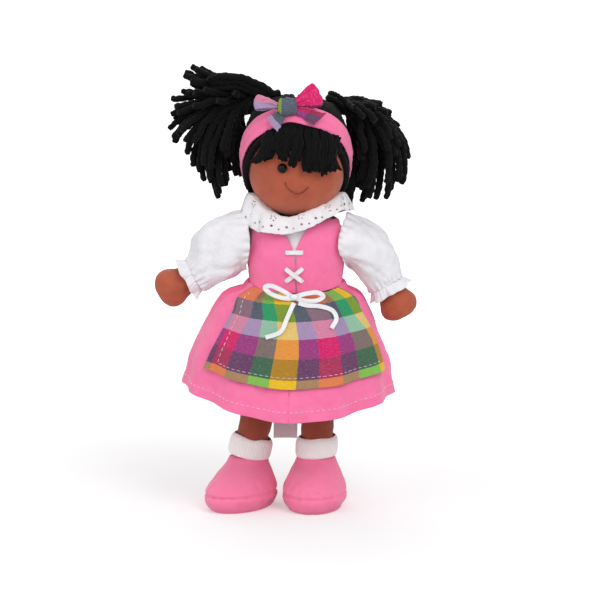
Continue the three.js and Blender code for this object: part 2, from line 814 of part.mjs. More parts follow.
// Bow on the headband, in the plane that leans back with the crown
const bowLean = 20; // degrees
const bowUp = new THREE.Vector3(0, 0, 1).applyAxisAngle(
  new THREE.Vector3(1, 0, 0), -THREE.MathUtils.degToRad(bowLean));
const bowOut = forward.clone().applyAxisAngle(
  new THREE.Vector3(1, 0, 0), -THREE.MathUtils.degToRad(bowLean));
const bowKnotAt = (() => {
  const tilt = THREE.MathUtils.degToRad(bandTilt);
  const crown = new THREE.Vector3(bowKnotOut / headHalfHeight, -Math.cos(tilt), Math.sin(tilt));
  return onHead(crown, bandOuter + fitGap + bowKnotDepth / 2);
})();

function bowPlace(across, up, out) {
  return bowKnotAt.clone().add(new THREE.Vector3(across, 0, 0))
    .addScaledVector(bowUp, up).addScaledVector(bowOut, out);
}

// A cloth loop: out along one face and back along the other, gathered at the knot
function bowLoop(angleDegrees, length, width) {
  const angle = THREE.MathUtils.degToRad(angleDegrees);
  const start = bowKnotWidth / 2 + seatGap;
  const surface = (u, v) => {
    const swing = u * Math.PI;
    const along = start + length * Math.sin(swing);
    const side = (v - 0.5) * width * (0.45 + 0.55 * Math.sin(swing));
    const out = bowLoopPuff * Math.sin(2 * swing) + bowCloth * 1.2 * Math.cos(swing);
    return bowPlace(along * Math.cos(angle) - side * Math.sin(angle),
      along * Math.sin(angle) + side * Math.cos(angle), out);
  };
  const walls = [bowCloth / 2, -bowCloth / 2].map((off) =>
    sampled(bounded(surface, off), 14, 3, false));
  return wallOf(walls[0], walls[1], false);
}

// As lifted, for a surface that also ends in u
function bounded(surface, distance) {
  const held = (u, v) => surface(Math.min(Math.max(u, 0), 1), v);
  return lifted(held, distance);
}

// A cut cloth end that widens away from the knot
function bowEnd(angleDegrees, length, width) {
  const angle = THREE.MathUtils.degToRad(angleDegrees);
  const start = bowKnotHeight / 2 + seatGap;
  const surface = (u, v) => {
    const along = start + length * u * (1 + 0.25 * (v - 0.5));
    const side = (v - 0.5) * width * (0.45 + 0.55 * u);
    const out = -bowCloth - 2 * bowCloth * u * (1 - u);
    return bowPlace(along * Math.cos(angle) - side * Math.sin(angle),
      along * Math.sin(angle) + side * Math.cos(angle), out);
  };
  const walls = [bowCloth / 2, -bowCloth / 2].map((off) =>
    sampled(bounded(surface, off), 5, 3, false));
  return wallOf(walls[0], walls[1], false);
}

// Bunches of yarn, each tied at its root above and behind an end of the headband
const bunchDirection = { across: 0.56, back: 0.3, up: 0.7 };
function bunchRoot(side) {
  const direction = new THREE.Vector3(
    side * bunchDirection.across, bunchDirection.back, bunchDirection.up);
  return offHead(direction, wrapGap + capWall, seatGap + bunchRootRadius - bunchPress);
}

// Outline shares from the root: out from the head, and up (a share of the rise) or down (of the drop)
const rightBunchShares = [
  [0.02, 0.5], [0.25, 0.72], [0.43, 0.77], [0.62, 1], [0.82, 0.97], [0.72, 0.46], [0.95, 0.17],
  [0.95, -0.19], [1, -0.28], [0.82, -0.46], [0.73, -0.57], [0.57, -0.78], [0.5, -0.8], [0.39, -1],
  [0.3, -0.88], [0.24, -0.74], [0.2, -0.6], [0.19, -0.44], [0.17, -0.26], [0.04, -0.06],
];
const leftBunchShares = [
  [0.02, 0.4], [0.12, 1], [0.24, 0.5], [0.55, 0.3], [0.71, -0.07], [0.8, -0.16], [0.9, -0.3],
  [1, -0.54], [0.94, -0.6], [0.97, -0.71], [0.9, -0.8], [0.74, -0.83], [0.7, -0.93], [0.56, -0.95],
  [0.44, -1], [0.32, -0.94], [0.25, -0.76], [0.24, -0.5], [0.2, -0.26], [0.04, -0.1],
];

function bunch(side) {
  const root = bunchRoot(side);
  const rise = side === RIGHT ? bunchRiseRight : bunchRiseLeft;
  const drop = side === RIGHT ? bunchDropRight : bunchDropLeft;
  const bunchReach = side === RIGHT ? bunchReachRight : bunchReachLeft;
  const outlineShares = side === RIGHT ? rightBunchShares : leftBunchShares;
  const outline = outlineShares.map(([out, up]) => new THREE.Vector3(
    root.x + side * out * bunchReach, root.y, root.z + (up > 0 ? up * rise : up * drop)));
  const heart = root.clone().add(new THREE.Vector3(
    side * 0.48 * bunchReach, 0, (rise * 0.5 - drop * 0.5) / 2));
  const slices = 6;
  const rings = [];
  for (let i = 1; i < slices; i += 1) {
    const angle = (i / slices - 0.5) * Math.PI;
    rings.push(outline.map((point, index) => {
      const lobe = index % 2 === 0 ? 1 : 1 - 0.12 * Math.sin(Math.abs(angle));
      const ring = heart.clone().lerp(point, Math.cos(angle) ** 0.8 * lobe);
      ring.y += bunchDepth * Math.sin(angle);
      return ring;
    }));
  }
  const ball = new THREE.SphereGeometry(bunchRootRadius, 12, 8);
  ball.translate(root.x, root.y, root.z);
  return cut(joined(solidOfRings(rings), ball), tieRing(side, tieThread + seatGap));
}

function tieRing(side, thread) {
  const ring = new THREE.TorusGeometry(tieRadius + tieThread, thread, 6, 14);
  const out = new THREE.Vector3(side * bunchDirection.across, bunchDirection.back,
    bunchDirection.up).normalize();
  ring.applyQuaternion(new THREE.Quaternion().setFromUnitVectors(new THREE.Vector3(0, 0, 1), out));
  const root = bunchRoot(side);
  ring.translate(root.x, root.y, root.z);
  return ring;
}

// Arms: a curve from the shoulder to the wrist, then on through the hand
const armInset = chestHalfWidth + seatGap;
function armSizes(side) {
  return side === RIGHT
    ? { reach: wristReachRight, drop: wristDropRight, handReach: handReachRight,
      handDrop: handDropRight }
    : { reach: wristReachLeft, drop: wristDropLeft, handReach: handReachLeft,
      handDrop: handDropLeft };
}

function armCurve(side) {
  const { reach, drop, handReach, handDrop } = armSizes(side);
  const shoulder = new THREE.Vector3(side * armInset, 0, shoulderHeight);
  const wrist = shoulder.clone().add(new THREE.Vector3(side * reach, 0, -drop));
  const handWay = new THREE.Vector3(side * handReach, 0, -handDrop).normalize();
  const pull = Math.hypot(reach, drop) * 0.42;
  return {
    curve: new THREE.CubicBezierCurve3(shoulder,
      shoulder.clone().add(new THREE.Vector3(side * pull, 0, 0)),
      wrist.clone().addScaledVector(handWay, -pull), wrist),
    wrist,
    handWay,
    handLength: Math.hypot(handReach, handDrop),
  };
}

// A ring across a way in the XZ plane
function ringAcross(at, way, halfAcross, halfDepth, sides, wave = 0) {
  const across = new THREE.Vector3(-way.z, 0, way.x);
  return Array.from({ length: sides }, (_, i) => {
    const angle = (i / sides) * turn;
    const ripple = 1 + wave * Math.cos(angle * 8);
    return at.clone().addScaledVector(across, halfAcross * ripple * Math.cos(angle))
      .add(new THREE.Vector3(0, halfDepth * ripple * Math.sin(angle), 0));
  });
}

const handShares = [[0, 0.78], [0.16, 0.86], [0.38, 1], [0.62, 1], [0.82, 0.8], [0.95, 0.45]];
function arm(side) {
  const { curve, wrist, handWay, handLength } = armCurve(side);
  const rings = [];
  const steps = 7;
  for (let i = 0; i < steps; i += 1) {
    const radius = THREE.MathUtils.lerp(armRadius, wristRadius,
      THREE.MathUtils.smoothstep(i / steps, 0, 0.8));
    rings.push(ringAcross(curve.getPoint(i / steps), curve.getTangent(i / steps),
      radius, radius, 16));
  }
  rings.push(ringAcross(wrist, handWay, wristRadius, wristRadius, 16));
  for (const [along, share] of handShares) {
    const past = THREE.MathUtils.lerp(cuffFrillLength, handLength, along);
    rings.push(ringAcross(wrist.clone().addScaledVector(handWay, past), handWay,
      handRadius * share, handHalfDepth * Math.min(share * 1.1, 1), 16));
  }
  return solidOfRings(rings);
}

function sleeve(side) {
  const { curve } = armCurve(side);
  const sleevePuffRadius = side === RIGHT ? sleevePuffRadiusRight : sleevePuffRadiusLeft;
  const holeStart = chestHalfWidth + bodiceOuter + seatGap;
  const first = (holeStart - armInset) / curve.getLength();
  const radii = new THREE.CatmullRomCurve3([
    new THREE.Vector3(sleeveHoleRadius, sleeveHoleRadius, 0),
    new THREE.Vector3(sleevePuffRadius, sleevePuffHalfDepth, 0),
    new THREE.Vector3(sleevePuffRadius, sleevePuffHalfDepth, 0),
    new THREE.Vector3(THREE.MathUtils.lerp(sleevePuffRadius, cuffRadius, 0.45),
      THREE.MathUtils.lerp(sleevePuffHalfDepth, cuffRadius, 0.45), 0),
    new THREE.Vector3(cuffRadius, cuffRadius, 0),
  ]);
  const rows = (wall) => Array.from({ length: 7 }, (_, row) => {
    const t = row / 6;
    const size = radii.getPoint(t);
    const at = curve.getPointAt(THREE.MathUtils.lerp(first, 1, t));
    const way = curve.getTangentAt(THREE.MathUtils.lerp(first, 1, t));
    if (row === 0) way.set(side, 0, 0);
    return ringAcross(at, way.normalize(), size.x - wall, size.y - wall, 20);
  });
  const bodySide = new THREE.BoxGeometry(2 * holeStart, 4 * sleevePuffHalfDepth, torsoHeight);
  bodySide.translate(0, 0, shoulderHeight);
  return cut(wallOf(rows(0), rows(sleeveWall), true), bodySide);
}

function cuffElastic(side) {
  const { wrist, handWay } = armCurve(side);
  const rows = (radius) => [0, 1].map((end) => ringAcross(
    wrist.clone().addScaledVector(handWay, -elasticWidth * end), handWay, radius, radius, 16));
  return wallOf(rows(wristRadius + fitGap + elasticWall), rows(wristRadius + fitGap), true);
}

function cuffFrill(side) {
  const { wrist, handWay } = armCurve(side);
  const rows = (wall) => [0, 0.5, 1].map((share) => {
    const radius = THREE.MathUtils.lerp(cuffRadius, cuffFrillRadius, share) - wall;
    const at = wrist.clone().addScaledVector(handWay, seatGap + share * cuffFrillLength);
    return ringAcross(at, handWay, radius, radius, 24,
      share * cuffFrillWave / cuffFrillRadius);
  });
  return wallOf(rows(0), rows(sleeveWall), true);
}

// Legs: from a flat seam that hugs the torso's seat, straight to the ankle
function legSizes(side) {
  return side === RIGHT
    ? { hipOut: hipOutRight, ankleOut: ankleOutRight, toeOut: toeOutRight }
    : { hipOut: hipOutLeft, ankleOut: ankleOutLeft, toeOut: toeOutLeft };
}

// The leg's middle at a height
function legMiddle(side, height) {
  const { hipOut, ankleOut } = legSizes(side);
  const share = (height - legBottom) / (torsoBottom - legBottom);
  return new THREE.Vector3(side * THREE.MathUtils.lerp(ankleOut, hipOut, share), 0, height);
}

function legRing(side, height, offset) {
  const share = (height - legBottom) / (torsoBottom - legBottom);
  const swell = THREE.MathUtils.lerp(ankleRadius, legRadius,
    THREE.MathUtils.smoothstep(share, 0, 0.5));
  const flat = THREE.MathUtils.smoothstep(share, 0.4, 1);
  const halfWidth = THREE.MathUtils.lerp(swell, legSeamHalfWidth, flat) + offset;
  const halfDepth = THREE.MathUtils.lerp(swell, legSeamHalfDepth, flat) + offset;
  const middle = legMiddle(side, height);
  return Array.from({ length: 18 }, (_, i) =>
    onOblong((i / 18) * turn, halfWidth, halfDepth, 0).add(middle));
}

function leg(side) {
  const top = torsoBottom + legSeamHalfDepth / 2;
  const rings = Array.from({ length: 6 }, (_, i) =>
    legRing(side, THREE.MathUtils.lerp(legBottom, top, i / 5), 0));
  const seat = new THREE.CylinderGeometry(hipSeatRadius + seatGap, hipSeatRadius + seatGap,
    4 * hipHalfWidth, 64);
  seat.rotateZ(turn / 4);
  seat.translate(0, 0, hipHeight);
  return cut(solidOfRings(rings), seat);
}

function sockCuff(side) {
  const rows = (offset) => Array.from({ length: 4 }, (_, i) => {
    const belly = offset > seatGap ? 0.3 * sockWall * Math.sin((i / 3) * Math.PI) : 0;
    return legRing(side, legBottom + seatGap + sockHeight * (i / 3), offset + belly);
  });
  return wallOf(rows(seatGap + sockWall), rows(seatGap), true);
}

// Shoe shares by height: half width, half length and how far forward its middle is
const shoeShares = [
  [0, 0.84, 0.88, 1], [0.05, 0.93, 0.95, 1], [0.16, 1, 1, 1], [0.32, 0.99, 0.98, 0.98],
  [0.5, 0.93, 0.86, 0.75], [0.68, 0.82, 0.68, 0.4], [0.85, 0.7, 0.52, 0.1], [1, 0.644, 0.448, 0],
];

function footPlace(side, geometry) {
  const { ankleOut, toeOut } = legSizes(side);
  geometry.rotateZ(-side * -THREE.MathUtils.degToRad(toeOut));
  geometry.translate(side * ankleOut, 0, 0);
  return geometry;
}

function shoe(side) {
  const rings = shoeShares.map(([height, width, length, ahead]) =>
    Array.from({ length: 20 }, (_, i) => {
      const angle = (i / 20) * turn;
      const mouth = THREE.MathUtils.smoothstep(height, 0.7, 1);
      const halfWidth = THREE.MathUtils.lerp(shoeHalfWidth * width, shoeMouthRadius, mouth);
      const halfLength = THREE.MathUtils.lerp(shoeHalfLength * length, shoeMouthRadius, mouth);
      const point = onOblong(angle, halfWidth, halfLength, shoeBottom + height * shoeHeight);
      point.y -= ahead * toeForward;
      return point;
    }));
  return footPlace(side, solidOfRings(rings));
}

function sole(side) {
  const rings = [0, 1].map((level) => Array.from({ length: 24 }, (_, i) => {
    const spread = level * seatGap;
    const point = onOblong((i / 24) * turn, soleHalfWidth + spread, soleHalfLength + spread,
      level * soleThickness);
    point.y -= toeForward;
    return point;
  }));
  return footPlace(side, solidOfRings(rings));
}

// Assembly
piece('torso', torso(), colours.skin);
piece('blouse_body', blouseBody(), colours.white);
piece('collar_frill', collar(), colours.white);
piece('bodice_front_left', bodiceFront(LEFT), colours.pink);
piece('bodice_front_right', bodiceFront(RIGHT), colours.pink);
piece('bodice_back', bodiceBack(), colours.pink);
piece('lace_bar', laceStrip(-laceSpan / 2, laceBarBelow, laceSpan / 2, laceBarBelow, 0),
  colours.white);
piece('lace_cross_rising', laceStrip(-laceSpan / 2, laceCrossBelow + laceCrossHeight / 2,
  laceSpan / 2, laceCrossBelow - laceCrossHeight / 2, 0), colours.white);
piece('lace_cross_falling', laceStrip(-laceSpan / 2, laceCrossBelow - laceCrossHeight / 2,
  laceSpan / 2, laceCrossBelow + laceCrossHeight / 2, 1), colours.white);
piece('skirt', skirt(), colours.pink);
piece('apron', apron(), colours.check);
piece('waist_bow_knot', ballOf(waistKnotWidth, waistKnotDepth, waistKnotHeight, waistKnotAt),
  colours.white);
piece('waist_bow_loop_left', waistLoop(LEFT, 0.06), colours.white);
piece('waist_bow_loop_right', waistLoop(RIGHT, 0.24), colours.white);
piece('waist_bow_tail_left', waistTail(tailLeftShares), colours.white);
piece('waist_bow_tail_right', waistTail(tailRightShares), colours.white);
piece('care_label', careLabel(), colours.white);
piece('neck', neck(), colours.skin);
piece('head', headForm(0, headSides, headRings), colours.skin);
piece('smile_stitch', smile(), colours.thread);
piece('hair_cap', hairCap(), colours.yarn);
piece('fringe', fringe(), colours.yarn);
piece('headband', headband(), colours.pink);
piece('headband_bow_knot', ballOf(bowKnotWidth, bowKnotDepth, bowKnotHeight, bowKnotAt),
  colours.check);
piece('headband_bow_loop_left', bowLoop(24, bowLoopLength, bowLoopWidth), colours.check);
piece('headband_bow_loop_right', bowLoop(176, bowLoopLength, bowLoopWidth), colours.check);
piece('headband_bow_end_left', bowEnd(-30, bowEndLength, bowEndWidth), colours.check);
piece('headband_bow_end_right', bowEnd(-130, bowEndLength, bowEndWidth), colours.check);

for (const [name, side] of [['left', LEFT], ['right', RIGHT]]) {
  piece(`eye_${name}`, eye(side), colours.bead, 0.1);
  piece(`yarn_bunch_${name}`, bunch(side), colours.yarn);
  piece(`bunch_tie_${name}`, tieRing(side, tieThread), colours.yarn);
  piece(`arm_${name}`, arm(side), colours.skin);
  piece(`sleeve_${name}`, sleeve(side), colours.white);
  piece(`cuff_elastic_${name}`, cuffElastic(side), colours.white);
  piece(`cuff_frill_${name}`, cuffFrill(side), colours.white);
  piece(`leg_${name}`, leg(side), colours.skinShade);
  piece(`sock_cuff_${name}`, sockCuff(side), colours.white);
  piece(`shoe_${name}`, shoe(side), colours.pink);
  piece(`sole_${name}`, sole(side), colours.pink);
}

export default doll;
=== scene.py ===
import math

import bmesh
import bpy
import numpy as np
from bpy.props import FloatProperty, FloatVectorProperty, IntProperty, PointerProperty
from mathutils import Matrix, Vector


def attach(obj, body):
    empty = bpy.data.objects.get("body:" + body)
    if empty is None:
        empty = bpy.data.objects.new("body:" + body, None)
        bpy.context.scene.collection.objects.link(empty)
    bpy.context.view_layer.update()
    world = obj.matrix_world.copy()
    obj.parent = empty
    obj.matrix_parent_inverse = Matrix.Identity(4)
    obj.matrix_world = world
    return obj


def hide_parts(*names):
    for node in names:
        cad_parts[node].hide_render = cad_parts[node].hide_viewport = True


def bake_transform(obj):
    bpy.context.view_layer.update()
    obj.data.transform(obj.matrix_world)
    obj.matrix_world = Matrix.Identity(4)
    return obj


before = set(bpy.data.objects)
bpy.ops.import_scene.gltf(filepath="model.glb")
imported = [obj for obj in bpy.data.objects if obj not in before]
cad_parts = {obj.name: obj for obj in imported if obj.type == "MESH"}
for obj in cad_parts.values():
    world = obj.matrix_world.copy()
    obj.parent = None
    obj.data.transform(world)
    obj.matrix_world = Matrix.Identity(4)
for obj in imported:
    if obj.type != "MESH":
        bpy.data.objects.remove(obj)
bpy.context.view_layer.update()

bl_info = {
    "name": "Rag doll",
    "version": (1, 0, 0),
    "blender": (4, 5, 0),
    "location": "View3D > Sidebar > Rag doll",
    "description": "Dresses the frame of a sewn rag doll in cloth, yarn and ribbon",
    "category": "Object",
}

# Lengths below are in millimetres, from the doll's own middle plane
MM = 0.001
STAND = np.array([6.6, 0.9, 0.0])
TURN = 2 * math.pi
LEFT = 1
RIGHT = -1
SIDES = (("left", LEFT), ("right", RIGHT))

# Walls and gaps of the frame's solids, which the cloth keeps
SEAT_GAP = 0.3
FIT_GAP = 0.5
WRAP_GAP = 0.8
SKIRT_WALL = 1.1
APRON_LIFT = 1.2
APRON_WALL = 0.9
RIBBON_THICK = 0.6
LACE_THICK = 0.7

HIP = 108.0
TORSO_TOP = 191.0
WAIST = HIP + 0.51 * (TORSO_TOP - HIP)
HEAD_MIDDLE = 233.5
HEAD_CENTRE = np.array([0.0, 0.0, HEAD_MIDDLE])
HEAD_HALF = np.array([32.0, 31.0, 38.0])
HEAD_FULLNESS = 2.5
SHOULDER = 179.5
BODICE_INNER = 1.4
BODICE_OUTER = 2.6


def srgb(text):
    """An sRGB hex colour as linear red, green, blue and alpha."""
    channels = [int(text[i:i + 2], 16) / 255 for i in (1, 3, 5)]
    linear = [c / 12.92 if c <= 0.04045 else ((c + 0.055) / 1.055) ** 2.4 for c in channels]
    return (*linear, 1.0)


class RagDollSizes(bpy.types.PropertyGroup):
    """Sizes of the soft parts that a user may change."""

    yarn: FloatProperty(
        name="Yarn", description="Thickness of a strand of hair yarn", default=0.0047, unit="LENGTH")
    ribbon: FloatProperty(
        name="Ribbon", description="Width of the waist ribbon", default=0.003, unit="LENGTH")
    stitch: FloatProperty(
        name="Stitch", description="Length of one topstitch", default=0.0022, unit="LENGTH")
    fold: FloatProperty(
        name="Skirt folds", description="Depth of the gathers below the waist", default=0.0012,
        unit="LENGTH")
    wrinkle: FloatProperty(
        name="Wrinkles", description="Depth of the small wrinkles in cloth", default=0.0003,
        unit="LENGTH")
    strands: IntProperty(
        name="Strands", description="Strands of yarn in each bunch", default=84, min=20)
    tufts: IntProperty(name="Tufts", description="Tufts in the fringe", default=30, min=8)


class RagDollColours(bpy.types.PropertyGroup):
    """Cloth and yarn colours that a user may change."""

    pink: FloatVectorProperty(
        name="Pink cotton", description="Dress, headband and shoes", subtype="COLOR", size=4,
        default=srgb("#FF7EAE"))
    skin: FloatVectorProperty(
        name="Brown cotton", description="Head, arms and legs", subtype="COLOR", size=4,
        default=srgb("#BC5E43"))
    white: FloatVectorProperty(
        name="White cotton", description="Blouse and collar", subtype="COLOR", size=4,
        default=srgb("#F1F0F3"))
    yarn: FloatVectorProperty(
        name="Yarn", description="Hair", subtype="COLOR", size=4, default=srgb("#060507"))


def sizes():
    return bpy.context.scene.rag_doll_sizes


def colours():
    return bpy.context.scene.rag_doll_colours


# Curves and surfaces

def travelled(points):
    """The way covered at each point of a route."""
    return np.concatenate([[0], np.cumsum(np.linalg.norm(np.diff(points, axis=0), axis=1))])


class Curve:
    """A smooth curve through points, read by share of its points or of its length."""

    def __init__(self, points, samples=600):
        points = np.asarray(points, float)
        count = len(points)
        before = 2 * points[0] - points[1]
        after = 2 * points[-1] - points[-2]
        padded = np.vstack([before, points, after])
        self.share = np.linspace(0, 1, samples)
        place = self.share * (count - 1)
        index = np.minimum(np.floor(place).astype(int), count - 2)
        weight = (place - index)[:, None]
        p0, p1, p2, p3 = (padded[index + i] for i in range(4))
        steps = [np.sqrt(np.linalg.norm(b - a, axis=1))[:, None]
                 for a, b in ((p0, p1), (p1, p2), (p2, p3))]
        d0, d1, d2 = (np.maximum(step, 1e-4) for step in steps)
        t1 = ((p1 - p0) / d0 - (p2 - p0) / (d0 + d1) + (p2 - p1) / d1) * d1
        t2 = ((p2 - p1) / d1 - (p3 - p1) / (d1 + d2) + (p3 - p2) / d2) * d1
        self.points = (p1 + t1 * weight + (3 * (p2 - p1) - 2 * t1 - t2) * weight ** 2
                       + (2 * (p1 - p2) + t1 + t2) * weight ** 3)
        self.travel = travelled(self.points)
        self.length = self.travel[-1]

    def at(self, share):
        share = np.asarray(share, float)
        return np.stack([np.interp(share, self.share, column) for column in self.points.T], -1)

    def along(self, share):
        reach = np.asarray(share, float) * self.length
        return np.stack([np.interp(reach, self.travel, column) for column in self.points.T], -1)


def drawn(start, handle, end, tip, count):
    """Points of a curve from start to tip, drawn by its two handles."""
    t = np.linspace(0, 1, count)[:, None]
    return ((1 - t) ** 3 * start + 3 * (1 - t) ** 2 * t * handle + 3 * (1 - t) * t ** 2 * end
            + t ** 3 * tip)


def smooth(value, low, high):
    """Rises softly from 0 at low to 1 at high."""
    share = np.clip((np.asarray(value, float) - low) / (high - low), 0, 1)
    return share * share * (3 - 2 * share)


def mix(a, b, share):
    return a + (b - a) * share


def unit(vectors):
    return vectors / np.maximum(np.linalg.norm(vectors, axis=-1, keepdims=True), 1e-12)


def oblong(angle, half_width, half_depth, height, squareness=2.0):
    """Points on a rounded oblong; the angle starts at the front and turns to the doll's left."""
    sine, cosine = np.sin(angle), np.cos(angle)
    power = 2 / squareness
    return np.stack([
        half_width * np.sign(sine) * np.abs(sine) ** power,
        -half_depth * np.sign(cosine) * np.abs(cosine) ** power,
        height + 0 * angle], -1)


def normals_of(surface, u, v):
    """The outward way of a surface at some of its places."""
    step = 1e-3
    low, high = np.maximum(v - step, 0), np.minimum(v + step, 1)
    along = surface(u + step, v) - surface(u - step, v)
    down = surface(u, high) - surface(u, low)
    return unit(np.cross(down, along))


def lifted(surface, distance):
    """The same surface moved out along its own normal."""
    def moved(u, v):
        return surface(u, v) + normals_of(surface, u, v) * distance
    return moved


def relief(points, size, seed, octaves=3):
    """Smooth random relief of about -1 to 1 at points; size is its coarsest swell."""
    rng = np.random.default_rng(seed)
    total = np.zeros(points.shape[:-1])
    for octave in range(octaves):
        for _ in range(7):
            way = unit(rng.normal(size=3))
            frequency = TURN * 2 ** octave / size * rng.uniform(0.7, 1.3)
            phase = rng.uniform(0, TURN)
            total += np.sin(points @ way * frequency + phase) / (2.6 * 2 ** octave)
    return total


def creases(points, size, seed):
    """Sharp valleys between soft swells, from 0 on a swell to -1 in a crease."""
    return -np.exp(-(relief(points, size, seed, 2) / 0.22) ** 2)


# Meshes

def place(points):
    """Doll millimetres to the frame's metres."""
    return (np.asarray(points, float) + STAND) * MM


def select_only(*objects):
    bpy.ops.object.select_all(action="DESELECT")
    for item in objects:
        item.select_set(True)
    bpy.context.view_layer.objects.active = objects[0]


def apply_all(item):
    """Applies each modifier of a piece in order."""
    select_only(item)
    for modifier in list(item.modifiers):
        bpy.ops.object.modifier_apply(modifier=modifier.name)


def linked(name, data):
    item = bpy.data.objects.new(name, data)
    bpy.context.scene.collection.objects.link(item)
    return item


def fastened(item, body, solid=None):
    """Hands a finished piece to its body, in place of a solid of the frame."""
    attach(item, body)
    if solid:
        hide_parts(solid)


def new_piece(name, points, faces, cover, uvs=None):
    """A smooth piece from points in doll millimetres and faces, with its cover's material
    and its places on the flat cloth."""
    mesh = bpy.data.meshes.new(name)
    mesh.from_pydata(place(points).tolist(), [], faces)
    if uvs is not None:
        layer = mesh.uv_layers.new(name="cloth")
        layer.data.foreach_set("uv", np.asarray(uvs, np.float32).ravel())
    mesh.materials.append(MATERIALS[cover])
    mesh.shade_smooth()
    mesh.update()
    return linked(name, mesh)


def grid_of(rows, columns, wrapped=False, flip=False):
    """Faces of a grid of points, row by row."""
    spans = columns if wrapped else columns - 1
    row, column = np.meshgrid(np.arange(rows - 1), np.arange(spans), indexing="ij")
    a = row * columns + column
    b = row * columns + (column + 1) % columns
    order = [a, a + columns, b + columns, b] if not flip else [a, b, b + columns, a + columns]
    return np.stack(order, -1).reshape(-1, 4), row.ravel(), column.ravel()


def cloth(name, surface, across, down, cover, flat, thickness=0.8, wrapped=False,
          flip=False, cloth_place=None, holes=None):
    """A sheet of cloth over surface(u, v), with its wall and its place on the flat cloth."""
    columns = across if wrapped else across + 1
    u, v = np.meshgrid(np.arange(columns) / across, np.linspace(0, 1, down + 1))
    points = surface(u, v).reshape(-1, 3)
    faces, row, column = grid_of(down + 1, columns, wrapped, flip)
    corners = ((0, 0), (1, 0), (1, 1), (0, 1)) if not flip else ((0, 0), (0, 1), (1, 1), (1, 0))
    shares = np.stack([np.stack([(column + c) / across, (row + r) / down], -1)
                       for r, c in corners], 1)
    if cloth_place is None:
        uvs = shares * np.array(flat)
    else:
        uvs = cloth_place(shares[..., 0], shares[..., 1])
    if holes is not None:
        middle = points[faces].mean(axis=1)
        keep = np.ones(len(faces), bool)
        for centre, radius in holes:
            keep &= np.linalg.norm(middle - centre, axis=1) > radius
        faces, uvs = faces[keep], uvs[keep]
    item = new_piece(name, points, faces.tolist(), cover, uvs)
    if thickness:
        wall = item.modifiers.new("cloth thickness", "SOLIDIFY")
        wall.thickness = thickness * MM
        wall.offset = 0
        apply_all(item)
    return item


def frames_along(points):
    """Directions aside and out for each point of a route, without twist."""
    ahead = unit(np.gradient(points, axis=0))
    side = np.cross(ahead[0], (0.0, 0.0, 1.0))
    if np.linalg.norm(side) < 0.2:
        side = np.cross(ahead[0], (0.0, 1.0, 0.0))
    sides = [unit(side)]
    for way in ahead[1:]:
        last = sides[-1]
        sides.append(unit(last - way * (last @ way)))
    sides = np.array(sides)
    return sides, np.cross(ahead, sides)


def even(points, step):
    """A route resampled to equal steps."""
    curve = Curve(points, max(12 * len(points), 120))
    count = max(int(round(curve.length / step)), 4)
    return curve.along(np.linspace(0, 1, count + 1))


def twisted(points, radius, pitch, plies=3, sides=9, phase=0.0, blunt=0.8, closed=False):
    """Rings of a twisted strand along a route: points and faces."""
    side, out = frames_along(points)
    count = len(points)
    travel = travelled(points)
    angles = np.arange(sides) / sides * TURN
    twist = travel / pitch * TURN + phase
    lobes = np.abs(np.cos(plies / 2 * (angles[None] - twist[:, None])))
    size = np.full(count, float(radius))
    if not closed:
        size[0] *= blunt
        size[-1] *= blunt
    reach = size[:, None] * (0.66 + 0.34 * lobes ** 0.7)
    rings = (points[:, None] + side[:, None] * (reach * np.cos(angles))[..., None]
             + out[:, None] * (reach * np.sin(angles))[..., None])
    faces, _, _ = grid_of(count, sides, wrapped=True, flip=True)
    faces = faces.tolist()
    if closed:
        last = (count - 1) * sides
        faces += [[last + i, last + (i + 1) % sides, (i + 1) % sides, i] for i in range(sides)]
    else:
        faces.append(list(range(sides)))
        faces.append(list(range(count * sides - 1, (count - 1) * sides - 1, -1)))
    return rings.reshape(-1, 3), faces


def gathered(parts):
    """Joins lists of (points, faces) into one."""
    points, faces, start = [], [], 0
    for some, more in parts:
        points.append(some)
        faces.extend([[start + i for i in face] for face in more])
        start += len(some)
    return np.vstack(points), faces


SEWING_THREAD = 0.42


def stitched(name, route, out, cover, length=None, gap=1.5, thick=SEWING_THREAD):
    """Dashes of thread along a route in doll millimetres; out is the cloth's outward way."""
    length = length or sizes().stitch / MM
    travel = travelled(route)
    parts = []
    start = 0.8
    while start + length < travel[-1]:
        share = np.linspace(start, start + length, 6)
        middle = np.stack([np.interp(share, travel, c) for c in route.T], -1)
        lift = np.stack([np.interp(share, travel, c) for c in out.T], -1)
        rise = np.array([-0.35, 0.12, 0.22, 0.22, 0.12, -0.35]) * thick / SEWING_THREAD
        parts.append(twisted(middle + lift * rise[:, None], thick / 2, 1.2, 2, 6))
        start += length + gap
    return new_piece(name, *gathered(parts), cover)


# Materials

MATERIALS = {}


def add(tree, kind, links=None, **settings):
    """Adds a shader node with its settings, values and links."""
    node = tree.nodes.new("ShaderNode" + kind)
    for key, value in settings.items():
        setattr(node, key, value)
    for socket, value in (links or {}).items():
        if isinstance(value, bpy.types.NodeSocket):
            tree.links.new(value, node.inputs[socket])
        else:
            node.inputs[socket].default_value = value
    return node


def start_material(name):
    """A material whose node tree is still empty."""
    material = bpy.data.materials.new(name)
    material.use_nodes = True
    material.node_tree.nodes.clear()
    return material, material.node_tree


def wave(tree, distance, spacing):
    """A swell along a distance, from -1 to 1, once for each spacing."""
    turned = add(tree, "Math", {0: distance, 1: TURN / spacing}, operation="MULTIPLY")
    return add(tree, "Math", {0: turned.outputs[0]}, operation="SINE").outputs[0]


def woven(tree, across, down, spacing):
    """A plain weave's height from -1 to 1, by places across and down the cloth."""
    return add(tree, "Math",
               {0: wave(tree, across, spacing), 1: wave(tree, down, spacing)},
               operation="MULTIPLY").outputs[0]


